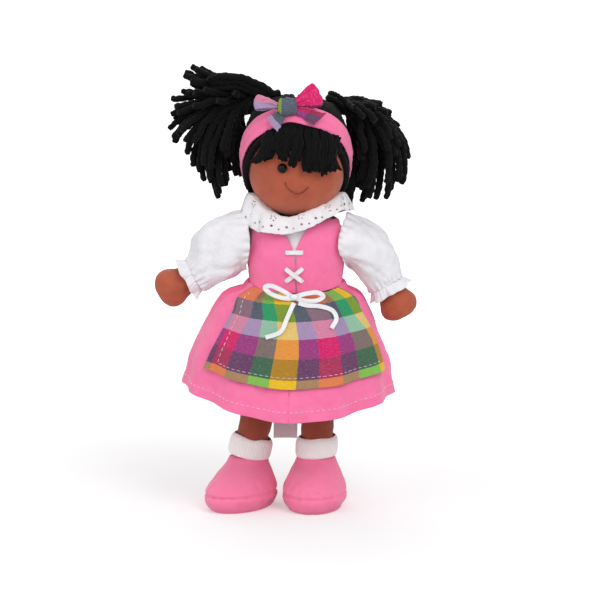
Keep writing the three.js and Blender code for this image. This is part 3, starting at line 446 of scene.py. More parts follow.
def varied(tree, coordinates, colour, scale, amount, dark):
    """The colour with soft patches of a second one."""
    noise = add(tree, "TexNoise",
                {"Vector": coordinates, "Scale": scale, "Detail": 4.0, "Roughness": 0.6})
    factor = add(tree, "MapRange",
                 {"Value": noise.outputs["Fac"], "From Min": 0.35, "From Max": 0.7,
                  "To Min": 0.0, "To Max": amount})
    return add(tree, "Mix", {"Factor": factor.outputs["Result"], 6: colour, 7: dark},
               data_type="RGBA").outputs[2]


def finish_material(tree, colour, height, strength, distance, roughness, sheen=0.3,
                    sheen_roughness=0.5, specular=0.3):
    """Joins colour and relief in one surface; distance is the relief's depth in metres."""
    bump = add(tree, "Bump", {"Strength": strength, "Distance": distance, "Height": height})
    shader = add(tree, "BsdfPrincipled",
                 {"Base Color": colour, "Roughness": roughness, "Normal": bump.outputs[0],
                  "Sheen Weight": sheen, "Sheen Roughness": sheen_roughness,
                  "Specular IOR Level": specular})
    add(tree, "OutputMaterial", {"Surface": shader.outputs[0]})


def cotton(name, colour, dark, thread_mm, bump, amount, sheen, flat=False):
    """Plain-woven cotton: matt, with a fine grid of threads and a faint mottle where it is handled.
    Its threads lie about 0.3 mm apart and are drawn at twice that, so that they show."""
    material, tree = start_material(name)
    places = add(tree, "TexCoord")
    solid = places.outputs["Object"]
    parts = add(tree, "SeparateXYZ", {0: places.outputs["UV"] if flat else solid})
    if flat:
        threads = woven(tree, parts.outputs[0], parts.outputs[1], thread_mm)
    else:
        across = add(tree, "Math", {0: parts.outputs[0], 1: parts.outputs[1]},
                     operation="ADD").outputs[0]
        threads = woven(tree, across, parts.outputs[2], thread_mm * MM)
    base = varied(tree, solid, colour, 95.0, amount, dark)
    slub = add(tree, "TexNoise", {"Vector": solid, "Scale": 900.0, "Detail": 2.0})
    height = add(tree, "Math", {0: threads, 1: slub.outputs["Fac"]}, operation="ADD")
    shade = add(tree, "MapRange",
                {"Value": threads, "From Min": -1.0, "From Max": 1.0, "To Min": 0.0,
                 "To Max": 0.16})
    toned = add(tree, "Mix", {"Factor": shade.outputs["Result"], 6: base, 7: dark},
                data_type="RGBA").outputs[2]
    finish_material(tree, toned, height.outputs[0], bump, 0.00018, 0.86, sheen)
    return material


# Check colours by weft row, where it crosses the hot pink, purple, green and yellow warp
CHECK_ROWS = (
    ("#F0804A", "#A8825A", "#7DBD4A", "#F5C400"),
    ("#8B6A7B", "#4E5D6C", "#0A9E63", "#7FA020"),
    ("#DE7CA2", "#A78BB8", "#8CC6A4", "#EFCB62"),
    ("#E2066B", "#A03482", "#80706A", "#F09A35"),
    ("#B4285A", "#6A3A66", "#38694A", "#B8860B"),
    ("#EE8548", "#B08A60", "#86C850", "#F8C800"),
)
# Where each row but the last ends down the cloth, a column's width and the first one's place
CHECK_ENDS = (15.5, 29.0, 42.2, 56.4, 71.0)
CHECK_COLUMN = 12.6
CHECK_START = 9.3
# Thicker threads: how their noise is stretched, where it starts, how strong it gets, its tint
SLUBS = (
    ((0.4, 2.4, 1.0), 0.54, 0.24, "#FAF0EA"),
    ((0.4, 2.8, 1.0), 0.52, 0.4, "#3C2A48"),
    ((2.4, 0.36, 1.0), 0.57, 0.14, "#FBF3EE"),
)


def checked_cotton():
    """Yarn-dyed check: warp and weft threads of other colours cross, so each cell mixes two,
    with a pale fleck where the threads of the white rows show."""
    material, tree = start_material("yarn-dyed check cotton")
    places = add(tree, "TexCoord")
    cloth_place = places.outputs["UV"]
    parts = add(tree, "SeparateXYZ", {0: cloth_place})
    wobble = add(tree, "TexNoise", {"Vector": cloth_place, "Scale": 1.4, "Detail": 2.0})
    shift = add(tree, "MapRange", {"Value": wobble.outputs["Fac"], "To Min": -0.3, "To Max": 0.3})
    across = add(tree, "Math", {0: parts.outputs[0], 1: shift.outputs[0]},
                 operation="ADD").outputs[0]
    down = add(tree, "Math", {0: parts.outputs[1], 1: shift.outputs[0]}, operation="ADD").outputs[0]
    offset = add(tree, "Math", {0: across, 1: CHECK_START + 5 * CHECK_COLUMN}, operation="ADD")
    share = add(tree, "Math", {0: offset.outputs[0], 1: 1 / (5 * CHECK_COLUMN)},
                operation="MULTIPLY")
    repeat = add(tree, "Math", {0: share.outputs[0]}, operation="FRACT").outputs[0]
    colour = None
    for index, row in enumerate(CHECK_ROWS):
        pink, purple, green, yellow = (srgb(text) for text in row)
        ramp = add(tree, "ValToRGB", {0: repeat})
        ramp.color_ramp.interpolation = "CONSTANT"
        stops = (purple, pink, purple, green, yellow)
        elements = ramp.color_ramp.elements
        while len(elements) < len(stops):
            elements.new(0.5)
        for number, value in enumerate(stops):
            elements[number].position = number / len(stops)
            elements[number].color = value
        if colour is None:
            colour = ramp.outputs[0]
            continue
        past = add(tree, "Math", {0: down, 1: CHECK_ENDS[index - 1]},
                   operation="GREATER_THAN").outputs[0]
        colour = add(tree, "Mix", {"Factor": past, 6: colour, 7: ramp.outputs[0]},
                     data_type="RGBA").outputs[2]
    threads = woven(tree, parts.outputs[0], parts.outputs[1], 0.7)
    fleck = add(tree, "TexNoise",
                {"Vector": cloth_place, "Scale": 3.2, "Detail": 3.0, "Roughness": 0.8})
    spots = add(tree, "MapRange",
                {"Value": fleck.outputs["Fac"], "From Min": 0.42, "From Max": 0.7,
                 "To Min": 0.0, "To Max": 0.22})
    low = add(tree, "Math", {0: down, 1: CHECK_ENDS[1]}, operation="GREATER_THAN")
    high = add(tree, "Math", {0: down, 1: CHECK_ENDS[2]}, operation="LESS_THAN")
    pale = spots
    for edge in (low, high):
        pale = add(tree, "Math", {0: pale.outputs[0], 1: edge.outputs[0]}, operation="MULTIPLY")
    flecked = add(tree, "Mix",
                  {"Factor": pale.outputs[0], 6: colour, 7: srgb("#FBF4F6")},
                  data_type="RGBA").outputs[2]
    for stretch, low_end, most, tint in SLUBS:
        slim = add(tree, "VectorMath", {0: cloth_place, 1: stretch}, operation="MULTIPLY")
        slub = add(tree, "TexNoise",
                   {"Vector": slim.outputs[0], "Scale": 1.0, "Detail": 2.0, "Roughness": 0.7})
        part = add(tree, "MapRange",
                   {"Value": slub.outputs["Fac"], "From Min": low_end, "From Max": 0.8,
                    "To Min": 0.0, "To Max": most})
        flecked = add(tree, "Mix",
                      {"Factor": part.outputs["Result"], 6: flecked, 7: srgb(tint)},
                      data_type="RGBA").outputs[2]
    shade = add(tree, "MapRange",
                {"Value": threads, "From Min": -1.0, "From Max": 1.0, "To Min": 0.0,
                 "To Max": 0.24})
    toned = add(tree, "Mix",
                {"Factor": shade.outputs[0], 6: flecked, 7: srgb("#40283A")},
                data_type="RGBA").outputs[2]
    finish_material(tree, toned, threads, 0.4, 0.00018, 0.88, 0.2)
    return material


def jersey(name, colour, dark):
    """Cotton jersey: soft and matt, with upright knit ribs about 0.9 mm apart."""
    material, tree = start_material(name)
    places = add(tree, "TexCoord")
    parts = add(tree, "SeparateXYZ", {0: places.outputs["UV"]})
    ribs = wave(tree, parts.outputs[0], 0.95)
    rows = wave(tree, parts.outputs[1], 0.8)
    knit = add(tree, "Math", {0: rows, 1: 0.35, 2: ribs}, operation="MULTIPLY_ADD")
    base = varied(tree, places.outputs["Object"], colour, 160.0, 0.5, dark)
    finish_material(tree, base, knit.outputs[0], 0.3, 0.0002, 0.92, 0.3)
    return material


def yarn(name, colour, pale):
    """Soft acrylic hair yarn: matt black with fine fibres that catch a little light."""
    material, tree = start_material(name)
    places = add(tree, "TexCoord")
    noise = add(tree, "TexNoise",
                {"Vector": places.outputs["Object"], "Scale": 1500.0, "Detail": 4.0,
                 "Roughness": 0.7})
    factor = add(tree, "MapRange",
                 {"Value": noise.outputs["Fac"], "From Min": 0.45, "From Max": 0.75,
                  "To Min": 0.0, "To Max": 0.7})
    fibres = add(tree, "Mix", {"Factor": factor.outputs[0], 6: colour, 7: pale},
                 data_type="RGBA").outputs[2]
    finish_material(tree, fibres, noise.outputs["Fac"], 0.6, 0.0004, 0.85, 0.05, 0.4, 0.14)
    return material


def bead(name):
    """Moulded black glass bead: smooth and glossy, with a clear highlight."""
    material, tree = start_material(name)
    places = add(tree, "TexCoord")
    noise = add(tree, "TexNoise", {"Vector": places.outputs["Object"], "Scale": 420.0})
    tone = add(tree, "Mix",
               {"Factor": noise.outputs["Fac"], 6: srgb("#050505"), 7: srgb("#0E0B0A")},
               data_type="RGBA").outputs[2]
    finish_material(tree, tone, noise.outputs["Fac"], 0.02, 0.0001, 0.12, 0.0, 0.5, 0.2)
    return material


def thread(name, colour, dark):
    """Sewing thread: twisted and slightly glossy, with a turn every 0.8 mm."""
    material, tree = start_material(name)
    places = add(tree, "TexCoord")
    noise = add(tree, "TexNoise",
                {"Vector": places.outputs["Object"], "Scale": 1250.0, "Detail": 2.0})
    base = add(tree, "Mix", {"Factor": noise.outputs["Fac"], 6: colour, 7: dark},
               data_type="RGBA").outputs[2]
    finish_material(tree, base, noise.outputs["Fac"], 0.4, 0.0002, 0.5, 0.2)
    return material


def tape(name, colour, dark, line_mm):
    """Narrow woven tape: close cross ribs that give it a soft shine."""
    material, tree = start_material(name)
    places = add(tree, "TexCoord")
    parts = add(tree, "SeparateXYZ", {0: places.outputs["UV"]})
    base = varied(tree, places.outputs["Object"], colour, 260.0, 0.5, dark)
    finish_material(tree, base, wave(tree, parts.outputs[0], line_mm), 0.35, 0.0002, 0.55, 0.3)
    return material


def make_materials():
    tints = colours()
    MATERIALS.update({
        "skin": cotton("brown cotton", tints.skin, srgb("#93432F"), 0.66, 0.3, 0.45, 0.2),
        # The legs take the brown cotton painted darker: painted shade from the skirt above them
        "legs": cotton("brown cotton with painted skirt shade", srgb("#9C4A36"), srgb("#7D3626"), 0.66, 0.3, 0.45, 0.2),
        "pink": cotton("pink cotton", tints.pink, srgb("#F0639A"), 0.62, 0.3, 0.4, 0.3, True),
        "pink_stuffed": cotton(
            "stuffed pink cotton", srgb("#FF86AF"), srgb("#F76C9E"), 0.62, 0.3, 0.4, 0.3),
        "white": cotton("white cotton", tints.white, srgb("#D5D2DC"), 0.62, 0.3, 0.35, 0.2, True),
        "eyelet": cotton(
            "embroidered white cotton", tints.white, srgb("#D9D4DC"), 0.62, 0.25, 0.3, 0.2, True),
        "check": checked_cotton(),
        "yarn": yarn("black hair yarn", tints.yarn, srgb("#1A181B")),
        "brushed": yarn("brushed black yarn", tints.yarn, srgb("#151315")),
        "bead": bead("black bead"),
        "smile": thread("red-brown thread", srgb("#8C2B1E"), srgb("#5E1A12")),
        "stitch": thread("white thread", srgb("#F6ECF0"), srgb("#D8C4CC")),
        "ribbon": tape("white ribbon", srgb("#F4F4F6"), srgb("#DCDAE2"), 0.6),
        "elastic": tape("white elastic", srgb("#F0EEF1"), srgb("#CFCBD4"), 0.8),
        "label": tape("blank label tape", srgb("#FFFFFF"), srgb("#EFECF0"), 0.7),
        "sock": jersey("white jersey", srgb("#FFFDFC"), srgb("#F6F2F1")),
    })


# Stage and cords

# Each lamp's place, size and power, in metres and watts
LAMPS = (
    ("key", (0.55, -0.95, 1.15), 0.9, 8.5),
    ("fill", (-0.95, -0.75, 0.55), 1.1, 3.2),
    ("back", (-0.2, 1.0, 0.9), 0.9, 4.0),
)
LAMP_AIM = Vector((0, 0, 0.16))
CAMERA_AIM = Vector((0.0092, 0.0, 0.1382))
CAMERA_AWAY = 3
CAMERA_TILT = math.radians(10)
CAMERA_LENS = 271.8


def make_stage():
    scene = bpy.context.scene
    scene.view_settings.view_transform = "Standard"
    world = bpy.data.worlds.new("soft studio")
    world.use_nodes = True
    world.node_tree.nodes.clear()
    tree = world.node_tree
    path = add(tree, "LightPath")
    seen = add(tree, "Math",
               {0: path.outputs["Is Camera Ray"], 1: path.outputs["Is Transmission Ray"]},
               operation="MAXIMUM").outputs[0]
    seen = add(tree, "Math", {0: seen, 1: path.outputs["Is Glossy Ray"]},
               operation="MAXIMUM").outputs[0]
    around = add(tree, "Background", {"Color": srgb("#FFFFFF"), "Strength": 0.62})
    behind = add(tree, "Background", {"Color": srgb("#FFFFFF"), "Strength": 1.0})
    both = add(tree, "MixShader", {0: seen, 1: around.outputs[0], 2: behind.outputs[0]})
    add(tree, "OutputWorld", {"Surface": both.outputs[0]})
    scene.world = world

    bpy.ops.object.select_all(action="DESELECT")
    bpy.ops.mesh.primitive_plane_add(size=6.0, location=(0, 0, 0))
    floor = bpy.context.object
    floor.name = "studio_floor"
    material, tree = start_material("matt white board")
    path = add(tree, "LightPath")
    # The board glows a little, more with distance, so it is white around a soft shadow
    matt = add(tree, "BsdfDiffuse", {"Color": srgb("#E6E6E6")})
    places = add(tree, "TexCoord")
    away = add(tree, "VectorMath", {0: places.outputs["Object"]}, operation="LENGTH")
    glow = add(tree, "MapRange",
               {"Value": away.outputs["Value"], "From Min": 0.15, "From Max": 0.9,
                "To Min": 0.34, "To Max": 0.74})
    own = add(tree, "Emission", {"Color": srgb("#FFFFFF"), "Strength": glow.outputs["Result"]})
    shaded = add(tree, "BsdfDiffuse", {"Color": srgb("#D8D8D9")})
    bright = add(tree, "AddShader", {0: own.outputs[0], 1: shaded.outputs[0]})
    shown = add(tree, "MixShader",
                {0: path.outputs["Is Camera Ray"], 1: matt.outputs[0], 2: bright.outputs[0]})
    add(tree, "OutputMaterial", {"Surface": shown.outputs[0]})
    floor.data.materials.append(material)

    for name, spot, size, power in LAMPS:
        lamp = bpy.data.lights.new(name, "AREA")
        lamp.shape = "DISK"
        lamp.size = size
        lamp.energy = power
        item = linked(name, lamp)
        item.location = spot
        item.rotation_mode = "QUATERNION"
        item.rotation_quaternion = (LAMP_AIM - Vector(spot)).to_track_quat("-Z", "Y")

    camera = bpy.data.cameras.new("camera")
    camera.sensor_width = 36.0
    camera.lens = CAMERA_LENS
    eye = linked("camera", camera)
    back = Vector((0, -math.cos(CAMERA_TILT), math.sin(CAMERA_TILT)))
    eye.location = CAMERA_AIM + back * CAMERA_AWAY
    eye.rotation_mode = "QUATERNION"
    eye.rotation_quaternion = (-back).to_track_quat("-Z", "Y")
    scene.camera = eye


def ribbon_along(name, route, facing, width, thickness, ends=1.0):
    """A woven ribbon along a route; facing is its wide side's way."""
    ahead = unit(np.gradient(route, axis=0))
    side = unit(np.cross(ahead, facing))
    out = unit(np.cross(side, ahead))
    count = len(route)
    travel = travelled(route)
    across = np.array([-0.5, -0.46, -0.3, 0.0, 0.3, 0.46, 0.5, 0.46, 0.3, 0.0, -0.3, -0.46])
    through = np.array([0.0, 0.5, 0.34, 0.28, 0.34, 0.5, 0.0, -0.5, -0.34, -0.28, -0.34, -0.5])
    pinch = np.ones(count)
    pinch[0] = pinch[-1] = ends
    rings = (route[:, None] + side[:, None] * (across * width)[None, :, None] * pinch[:, None, None]
             + out[:, None] * (through * thickness)[None, :, None])
    columns = len(across)
    faces, row, column = grid_of(count, columns, wrapped=True)
    corners = ((0, 0), (1, 0), (1, 1), (0, 1))
    uvs = [np.stack([travel[row + r], np.abs((column + c) - 6.0)], -1) for r, c in corners]
    uvs = np.stack(uvs, 1).reshape(-1, 2).tolist()
    faces = faces.tolist()
    for cap in (list(range(columns - 1, -1, -1)),
                list(range((count - 1) * columns, count * columns))):
        faces.append(cap)
        uvs.extend([[0.0, 0.0]] * columns)
    return new_piece(name, rings.reshape(-1, 3), faces, "ribbon", uvs)


def tail_route(places):
    """A tail's route on the apron, by its places around the skirt and down the apron."""
    places = np.asarray(places, float)
    surface = lifted(skirt_inner, SKIRT_WALL + APRON_LIFT + APRON_WALL + WRAP_GAP + RIBBON_THICK)
    spots = surface(places[:, 0], places[:, 1] * APRON_LENGTH / SKIRT_PROFILE.length)
    return Curve(spots).along(np.linspace(0, 1, 33))


TAILS = (
    ("waist_bow_tail_right",
     ((0.002, 0.19), (-0.002, 0.24), (-0.01, 0.36), (-0.018, 0.48), (-0.046, 0.55))),
    ("waist_bow_tail_left",
     ((0.012, 0.19), (0.032, 0.22), (0.062, 0.24), (0.087, 0.3), (0.092, 0.38), (0.078, 0.47))),
)


def make_tails():
    width = sizes().ribbon
    for node, places in TAILS:
        route = tail_route(places)
        tail = ribbon_along(node.replace("waist_bow", "ribbon"), route, (0.0, -1.0, 0.12),
                            width / MM, RIBBON_THICK)
        fastened(tail, "torso", node)


# Skirt and apron

SKIRT_LENGTH = 81.0
SKIRT_PROFILE = Curve([
    [28.5 + BODICE_OUTER, 19.2 + BODICE_OUTER, 0],
    [44, 29, 0.07 * SKIRT_LENGTH],
    [mix(44, 56, 0.6), mix(29, 42, 0.55), 0.22 * SKIRT_LENGTH],
    [56, 42, 0.38 * SKIRT_LENGTH],
    [mix(56, 68, 0.62), mix(42, 54, 0.6), 0.66 * SKIRT_LENGTH],
    [68, 54, SKIRT_LENGTH],
])
SKIRT_TOP = WAIST - SEAT_GAP - SKIRT_WALL - APRON_LIFT - APRON_WALL
WAIST_DIP = 4.0
APRON_LENGTH = 77.0
HEM_SHARE = 0.925
# Each tuck's place around the skirt, its width as a share of the round, and its depth
SKIRT_TUCKS = ((0.175, 0.012, 2.0), (0.825, 0.014, 2.2), (0.235, 0.01, 1.4),
               (0.765, 0.01, 1.5), (0.4, 0.014, 1.6), (0.6, 0.012, 1.6))


def front_share(angle):
    """How far a place around the doll looks to the front, from 0 at the sides to 1."""
    return np.maximum(np.cos(angle), 0) ** 2


def skirt_inner(u, v):
    """The inner face of the skirt; v runs from the waist to the hem, which hangs lower in front."""
    angle = u * TURN
    at = SKIRT_PROFILE.along(v)
    sideways = np.sin(angle)
    shorter = 1 - (14 * sideways ** 2 - 3 * sideways) / SKIRT_LENGTH
    fold = 1.7 * v * (np.cos(12 * angle + 0.6) + 0.5 * np.cos(5 * angle))
    point = oblong(angle, at[..., 0] + fold, at[..., 1] + fold, SKIRT_TOP - at[..., 2] * shorter)
    point[..., 0] -= 5.4 * np.sqrt(v)
    point[..., 2] -= WAIST_DIP * front_share(angle) * (1 - v)
    return point


def skirt_cloth(u, v):
    """The skirt's cloth with its gathers at the waist and small wrinkles."""
    angle = u * TURN
    base = skirt_inner(u, v)
    out = normals_of(skirt_inner, u, v)
    depth = sizes().fold / MM
    swing = 24 * angle + 1.4 * np.sin(3 * angle + 1) + 0.9 * np.sin(7 * angle)
    gather = np.sin(swing) * depth * np.exp(-((v - 0.1) / 0.15) ** 2)
    deep = 0.0
    for spot, width, amount in SKIRT_TUCKS:
        near = np.exp(-((u - spot) / (width * (1 + 1.6 * v))) ** 2)
        deep = deep - amount * near * smooth(v, 0.0, 0.08) * (1 - smooth(v, 0.3, 0.8))
    small = creases(base, 34, 5) * sizes().wrinkle / MM * (0.4 + v)
    hem = 0.35 * smooth(v, 0.90, HEM_SHARE) * (1 + 0 * u)
    lift = 0.55 + gather + deep + small + hem + 0.3 * relief(base, 26, 8)
    point = base + out * np.maximum(lift, -1.2)[..., None]
    heading = (1 - smooth(v, 0.0, 0.05)) * (1 - front_share(angle))
    point[..., 2] += 3.9 * heading
    return point


def make_skirt():
    for name, side in SIDES:
        start = 0.0 if side == LEFT else 0.5

        def half(u, v):
            return skirt_cloth(start + mix(-0.001, 0.501, u), v)

        panel = cloth(f"skirt_{name}_half", half, 260, 120, "pink", (195, 96), 0.9)
        blend_to_leg(panel)
        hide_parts("skirt")
        u = np.linspace(0.002, 0.998, 500)
        v = np.full_like(u, HEM_SHARE)
        outer = half(u, v) + normals_of(half, u, v) * 0.5
        row = stitched(f"skirt_{name}_hem_stitch", outer, normals_of(half, u, v), "stitch")
        blend_to_leg(row)


def blend_to_leg(item):
    """Bakes the piece's place and turn into its points."""
    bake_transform(item)


# The apron's side edges around the skirt, from the waist down in four even steps
APRON_RIGHT = (-0.17, -0.137, -0.15, -0.158)
APRON_LEFT = (0.17, 0.168, 0.183, 0.182)
# Where the gathered waist takes up the flat cloth, by share of its width and in millimetres
APRON_TOP_SHARES = (0.0, 0.176, 0.235, 0.33, 0.46, 0.53, 0.72, 0.79, 0.894, 0.965, 1.0)
APRON_TOP_CLOTH = (2.5, 15.9, 28.5, 41.1, 53.7, 66.3, 78.9, 91.5, 104.1, 116.7, 121.0)
APRON_TUCKS = ((0.2, 0.014, 1.5), (0.5, 0.012, 1.4), (0.755, 0.014, 1.5), (0.93, 0.012, 1.1),
               (0.33, 0.008, 0.6), (0.62, 0.008, 0.6))


def apron_around(u, v):
    shares = np.linspace(0, 1, 4)
    return mix(np.interp(v, shares, APRON_RIGHT), np.interp(v, shares, APRON_LEFT), u)


def apron_cloth(u, v):
    """The apron over the skirt, tucked at the waist."""
    around, down = apron_around(u, v), v * (APRON_LENGTH / SKIRT_PROFILE.length)
    base = skirt_inner(around, down)
    out = normals_of(skirt_inner, around, down)
    lift = SKIRT_WALL + APRON_LIFT + APRON_WALL / 2 + 0.0 * u
    for spot, width, amount in APRON_TUCKS:
        near = np.exp(-((u - spot) / (width * (1 + 1.2 * v))) ** 2)
        beside = np.exp(-((u - spot) / (3.2 * width)) ** 2)
        fade = 1 - smooth(v, 0.12, 0.5)
        lift = lift + fade * (0.75 * beside - amount * near)
    lift = lift + 0.3 * relief(base, 30, 12) + 0.22 * smooth(v, 0.9, 0.93)
    edge = np.minimum(u, 1 - u)
    lift = lift + 0.25 * (1 - smooth(edge, 0.055, 0.075))
    curl = smooth(u, 0.9, 1.0) * smooth(v, 0.35, 0.6) * 1.2
    return base + out * (lift + curl)[..., None]


def apron_place(u, v):
    """Where a point of the apron lies on the flat cloth: gathered at the top, even at the hem."""
    top = np.interp(u, APRON_TOP_SHARES, APRON_TOP_CLOTH)
    level = u * 109.3
    spread = smooth(v, 0.1, 0.6)
    return np.stack([mix(top, level, spread), v * APRON_LENGTH], -1)


def make_apron():
    for name, side in SIDES:
        start = 0.5 if side == LEFT else 0.0

        def half(u, v):
            return apron_cloth(start + 0.5 * u, v)

        def half_place(u, v):
            return apron_place(start + 0.5 * u, v)

        panel = cloth(f"apron_{name}_half", half, 190, 190, "check", (58, 77), 0.7,
                      cloth_place=half_place)
        blend_to_leg(panel)
        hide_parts("apron")
        if side == RIGHT:
            u = np.concatenate([np.full(200, 0.14), np.linspace(0.14, 1.0, 260)])
            v = np.concatenate([np.linspace(0.08, 0.9, 200), np.full(260, 0.9)])
        else:
            u = np.linspace(0.0, 0.95, 260)
            v = np.full(260, 0.9)
        outs = normals_of(half, u, v)
        row = stitched(f"apron_{name}_topstitch", half(u, v) + outs * 0.42, outs,
                       "stitch", 2.6, 1.3, 0.4)
        blend_to_leg(row)


# Bodice, blouse and laces

TORSO_PROFILE = Curve([
    [32.5, 18.0, HIP],
    [32.0, 20.5, mix(HIP, WAIST, 0.5)],
    [28.5, 19.2, WAIST],
    [30.4, 20.4, mix(WAIST, TORSO_TOP, 0.6)],
    [29.2, 18.0, mix(WAIST, TORSO_TOP, 0.9)],
    [24.0, 14.0, TORSO_TOP],
])


def around_torso(u, v, offset):
    """The torso's skin from the waist (0) to the neck seat (1), stood off by some distance."""
    start = 0.4 * (1 - WAIST_DIP * front_share(u * TURN) / (WAIST - HIP))
    at = TORSO_PROFILE.at(mix(start, 1.0, v))
    lift = smooth(v, 0.6, 1) * offset
    return oblong(u * TURN, at[..., 0] + offset, at[..., 1] + offset, at[..., 2] + lift, 2.4)


def level_way(points):
    """The level way out from the doll's middle line."""
    return unit(points - np.array([0, 0, 1]) * points[..., 2:3])


def share_where(v, offset, measure, wanted, low, high):
    """The share of a turn between low and high where a measure of the torso reaches a value."""
    low = np.full_like(v, low)
    high = np.full_like(v, high)
    for _ in range(34):
        middle = (low + high) / 2
        less = measure(around_torso(middle, v, offset)) < wanted
        low = np.where(less, middle, low)
        high = np.where(less, high, middle)
    return (low + high) / 2


ARMHOLE = 12.0
NECK_FALL = 17.5


def bodice_edges(side, front):
    """Inner and outer edge of a bodice panel for each share of its height."""
    v = np.linspace(0, 1, 121)
    offset = (BODICE_INNER + BODICE_OUTER) / 2
    height = around_torso(np.zeros_like(v), v, offset)[..., 2]
    hole = np.sqrt(np.maximum(ARMHOLE ** 2 - (height - SHOULDER) ** 2, 0))
    hole = np.where(np.abs(height - SHOULDER) < ARMHOLE, hole, 0.0)
    seam = 0.0016
    if front:
        outer = share_where(v, offset, lambda p: p[..., 1], -hole, 0.0, 0.25) - seam
        below = TORSO_TOP - NECK_FALL
        rise = np.clip((height - below) / NECK_FALL, 0, 1.4)
        wide = 10.0 * (0.55 * rise + 0.45 * rise ** 2)
        middle = -1.2 * smooth(height, below - 12, below)
        wanted = np.where(rise > 0, wide + side * middle + 0.35, 0.35 + side * middle)
        inner = share_where(v, offset, lambda p: p[..., 0], wanted, 0.0, 0.25)
        return v, inner, outer
    outer = share_where(v, offset, lambda p: p[..., 1], hole, 0.25, 0.5) + seam
    return v, outer, np.full_like(v, 0.5)


def make_bodice():
    offset = (BODICE_INNER + BODICE_OUTER) / 2
    for name, side in SIDES:
        shares, inner, outer = bodice_edges(side, True)

        def front(u, v):
            angle = mix(np.interp(v, shares, inner), np.interp(v, shares, outer), u)
            base = around_torso(side * angle, v, offset)
            edge = np.minimum(np.minimum(u * 24, (1 - u) * 24), 3.0)
            roll = 0.3 * np.exp(-(edge / 0.9) ** 2)
            pull = 0.5 * np.exp(-((base[..., 2] - (TORSO_TOP - 32.5)) / 5) ** 2) * np.exp(-u * 8)
            puff = 0.35 * relief(base, 30, 21) + creases(base, 26, 23) * 0.25
            return base + level_way(base) * (roll - pull + puff)[..., None]

        panel = cloth(f"bodice_{name}_front", front, 90, 110, "pink", (38, 46), 1.0,
                      flip=side == RIGHT)
        fastened(panel, "torso", f"bodice_front_{name}")

    back_shares, back_inner, _ = bodice_edges(LEFT, False)

    def back(u, v):
        edge = np.interp(v, back_shares, back_inner)
        base = around_torso(mix(edge, 1 - edge, u), v, offset)
        seam = -0.7 * np.exp(-((u - 0.5) / 0.006) ** 2)
        puff = 0.35 * relief(base, 30, 31) + creases(base, 26, 33) * 0.25 + seam
        return base + level_way(base) * puff[..., None]

    panel = cloth("bodice_back_panel", back, 130, 90, "pink", (84, 46), 1.0)
    fastened(panel, "torso", "bodice_back")


NECK_SEAT = 6 / 7


def make_blouse():
    def cover(u, v):
        upper = np.clip(v / NECK_SEAT, 0, 1)
        skin = around_torso(u, upper, 0.7)
        edge = around_torso(u, np.ones_like(v), 0.7)
        neckline = oblong(u * TURN, 12.6, 12.6, edge[..., 2])
        share = np.clip((v - NECK_SEAT) * 7, 0, 1)[..., None]
        base = mix(skin, mix(edge, neckline, share), (v > NECK_SEAT)[..., None] * 1.0)
        placket = 0.35 * np.exp(-((np.sin(u * TURN) * 30 - 1.0) / 2.2) ** 2)
        gather = 0.25 * np.sin(u * TURN * 30) * smooth(v, 0.55, 0.85)
        lift = 0.15 * relief(base, 14, 41) + placket + gather * 0.5
        return base + level_way(base) * lift[..., None]

    body = cloth("blouse", cover, 180, 72, "white", (170, 60), 0.7, wrapped=True)
    fastened(body, "torso", "blouse_body")


def before_bodice(across, below, offset):
    """A point in front of the bodice, by its place across and its depth below the neck."""
    height = TORSO_TOP - below
    shares = np.linspace(0, 1, 400)
    heights = around_torso(np.zeros_like(shares), shares, 0.0)[..., 2]
    share = np.interp(height, heights, shares)
    at = around_torso(np.array(0.0), share, BODICE_OUTER + offset)
    return np.array([across, at[1], height])


def make_laces():
    strips = (
        ("lace_bar", 17.3, 17.3, 0),
        ("lace_cross_rising", 37.0, 28.0, 0),
        ("lace_cross_falling", 28.0, 37.0, 1),
    )
    reach = 5.7
    for node, from_below, to_below, layer in strips:
        off = SEAT_GAP + LACE_THICK / 2 + layer * (LACE_THICK + SEAT_GAP)
        spots = []
        for share in np.linspace(0, 1, 15):
            sink = -1.1 * (np.exp(-share / 0.045) + np.exp(-(1 - share) / 0.045))
            spots.append(before_bodice(-1.2 + mix(-reach, reach, share),
                                       mix(from_below, to_below, share), off + sink + 0.15))
        strip = ribbon_along(node.replace("lace", "ribbon"), np.array(spots), (0.0, -1.0, 0.0),
                             3.0, LACE_THICK, 0.8)
        fastened(strip, "torso", node)


# Stuffed body parts

def coordinates(item):
    """A piece's points in doll millimetres."""
    points = np.empty(len(item.data.vertices) * 3)
    item.data.vertices.foreach_get("co", points)
    return points.reshape(-1, 3) / MM - STAND


def set_coordinates(item, points):
    item.data.vertices.foreach_set("co", place(points).ravel())
    item.data.update()


def mesh_normals(item):
    normals = np.empty(len(item.data.vertices) * 3)
    item.data.vertex_normals.foreach_get("vector", normals)
    return normals.reshape(-1, 3)


def copied(name, node, voxel):
    """A closed copy of a frame solid, remeshed evenly; voxel is in millimetres."""
    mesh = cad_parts[node].data.copy()
    mesh.name = name
    shell = bmesh.new()
    shell.from_mesh(mesh)
    bmesh.ops.remove_doubles(shell, verts=shell.verts, dist=1e-5)
    bmesh.ops.recalc_face_normals(shell, faces=shell.faces)
    shell.to_mesh(mesh)
    shell.free()
    mesh.materials.clear()
    item = linked(name, mesh)
    even_out = item.modifiers.new("even cloth", "REMESH")
    even_out.mode = "VOXEL"
    even_out.voxel_size = voxel * MM
    ease = item.modifiers.new("ease", "SMOOTH")
    ease.factor = 0.5
    ease.iterations = 3
    apply_all(item)
    return item


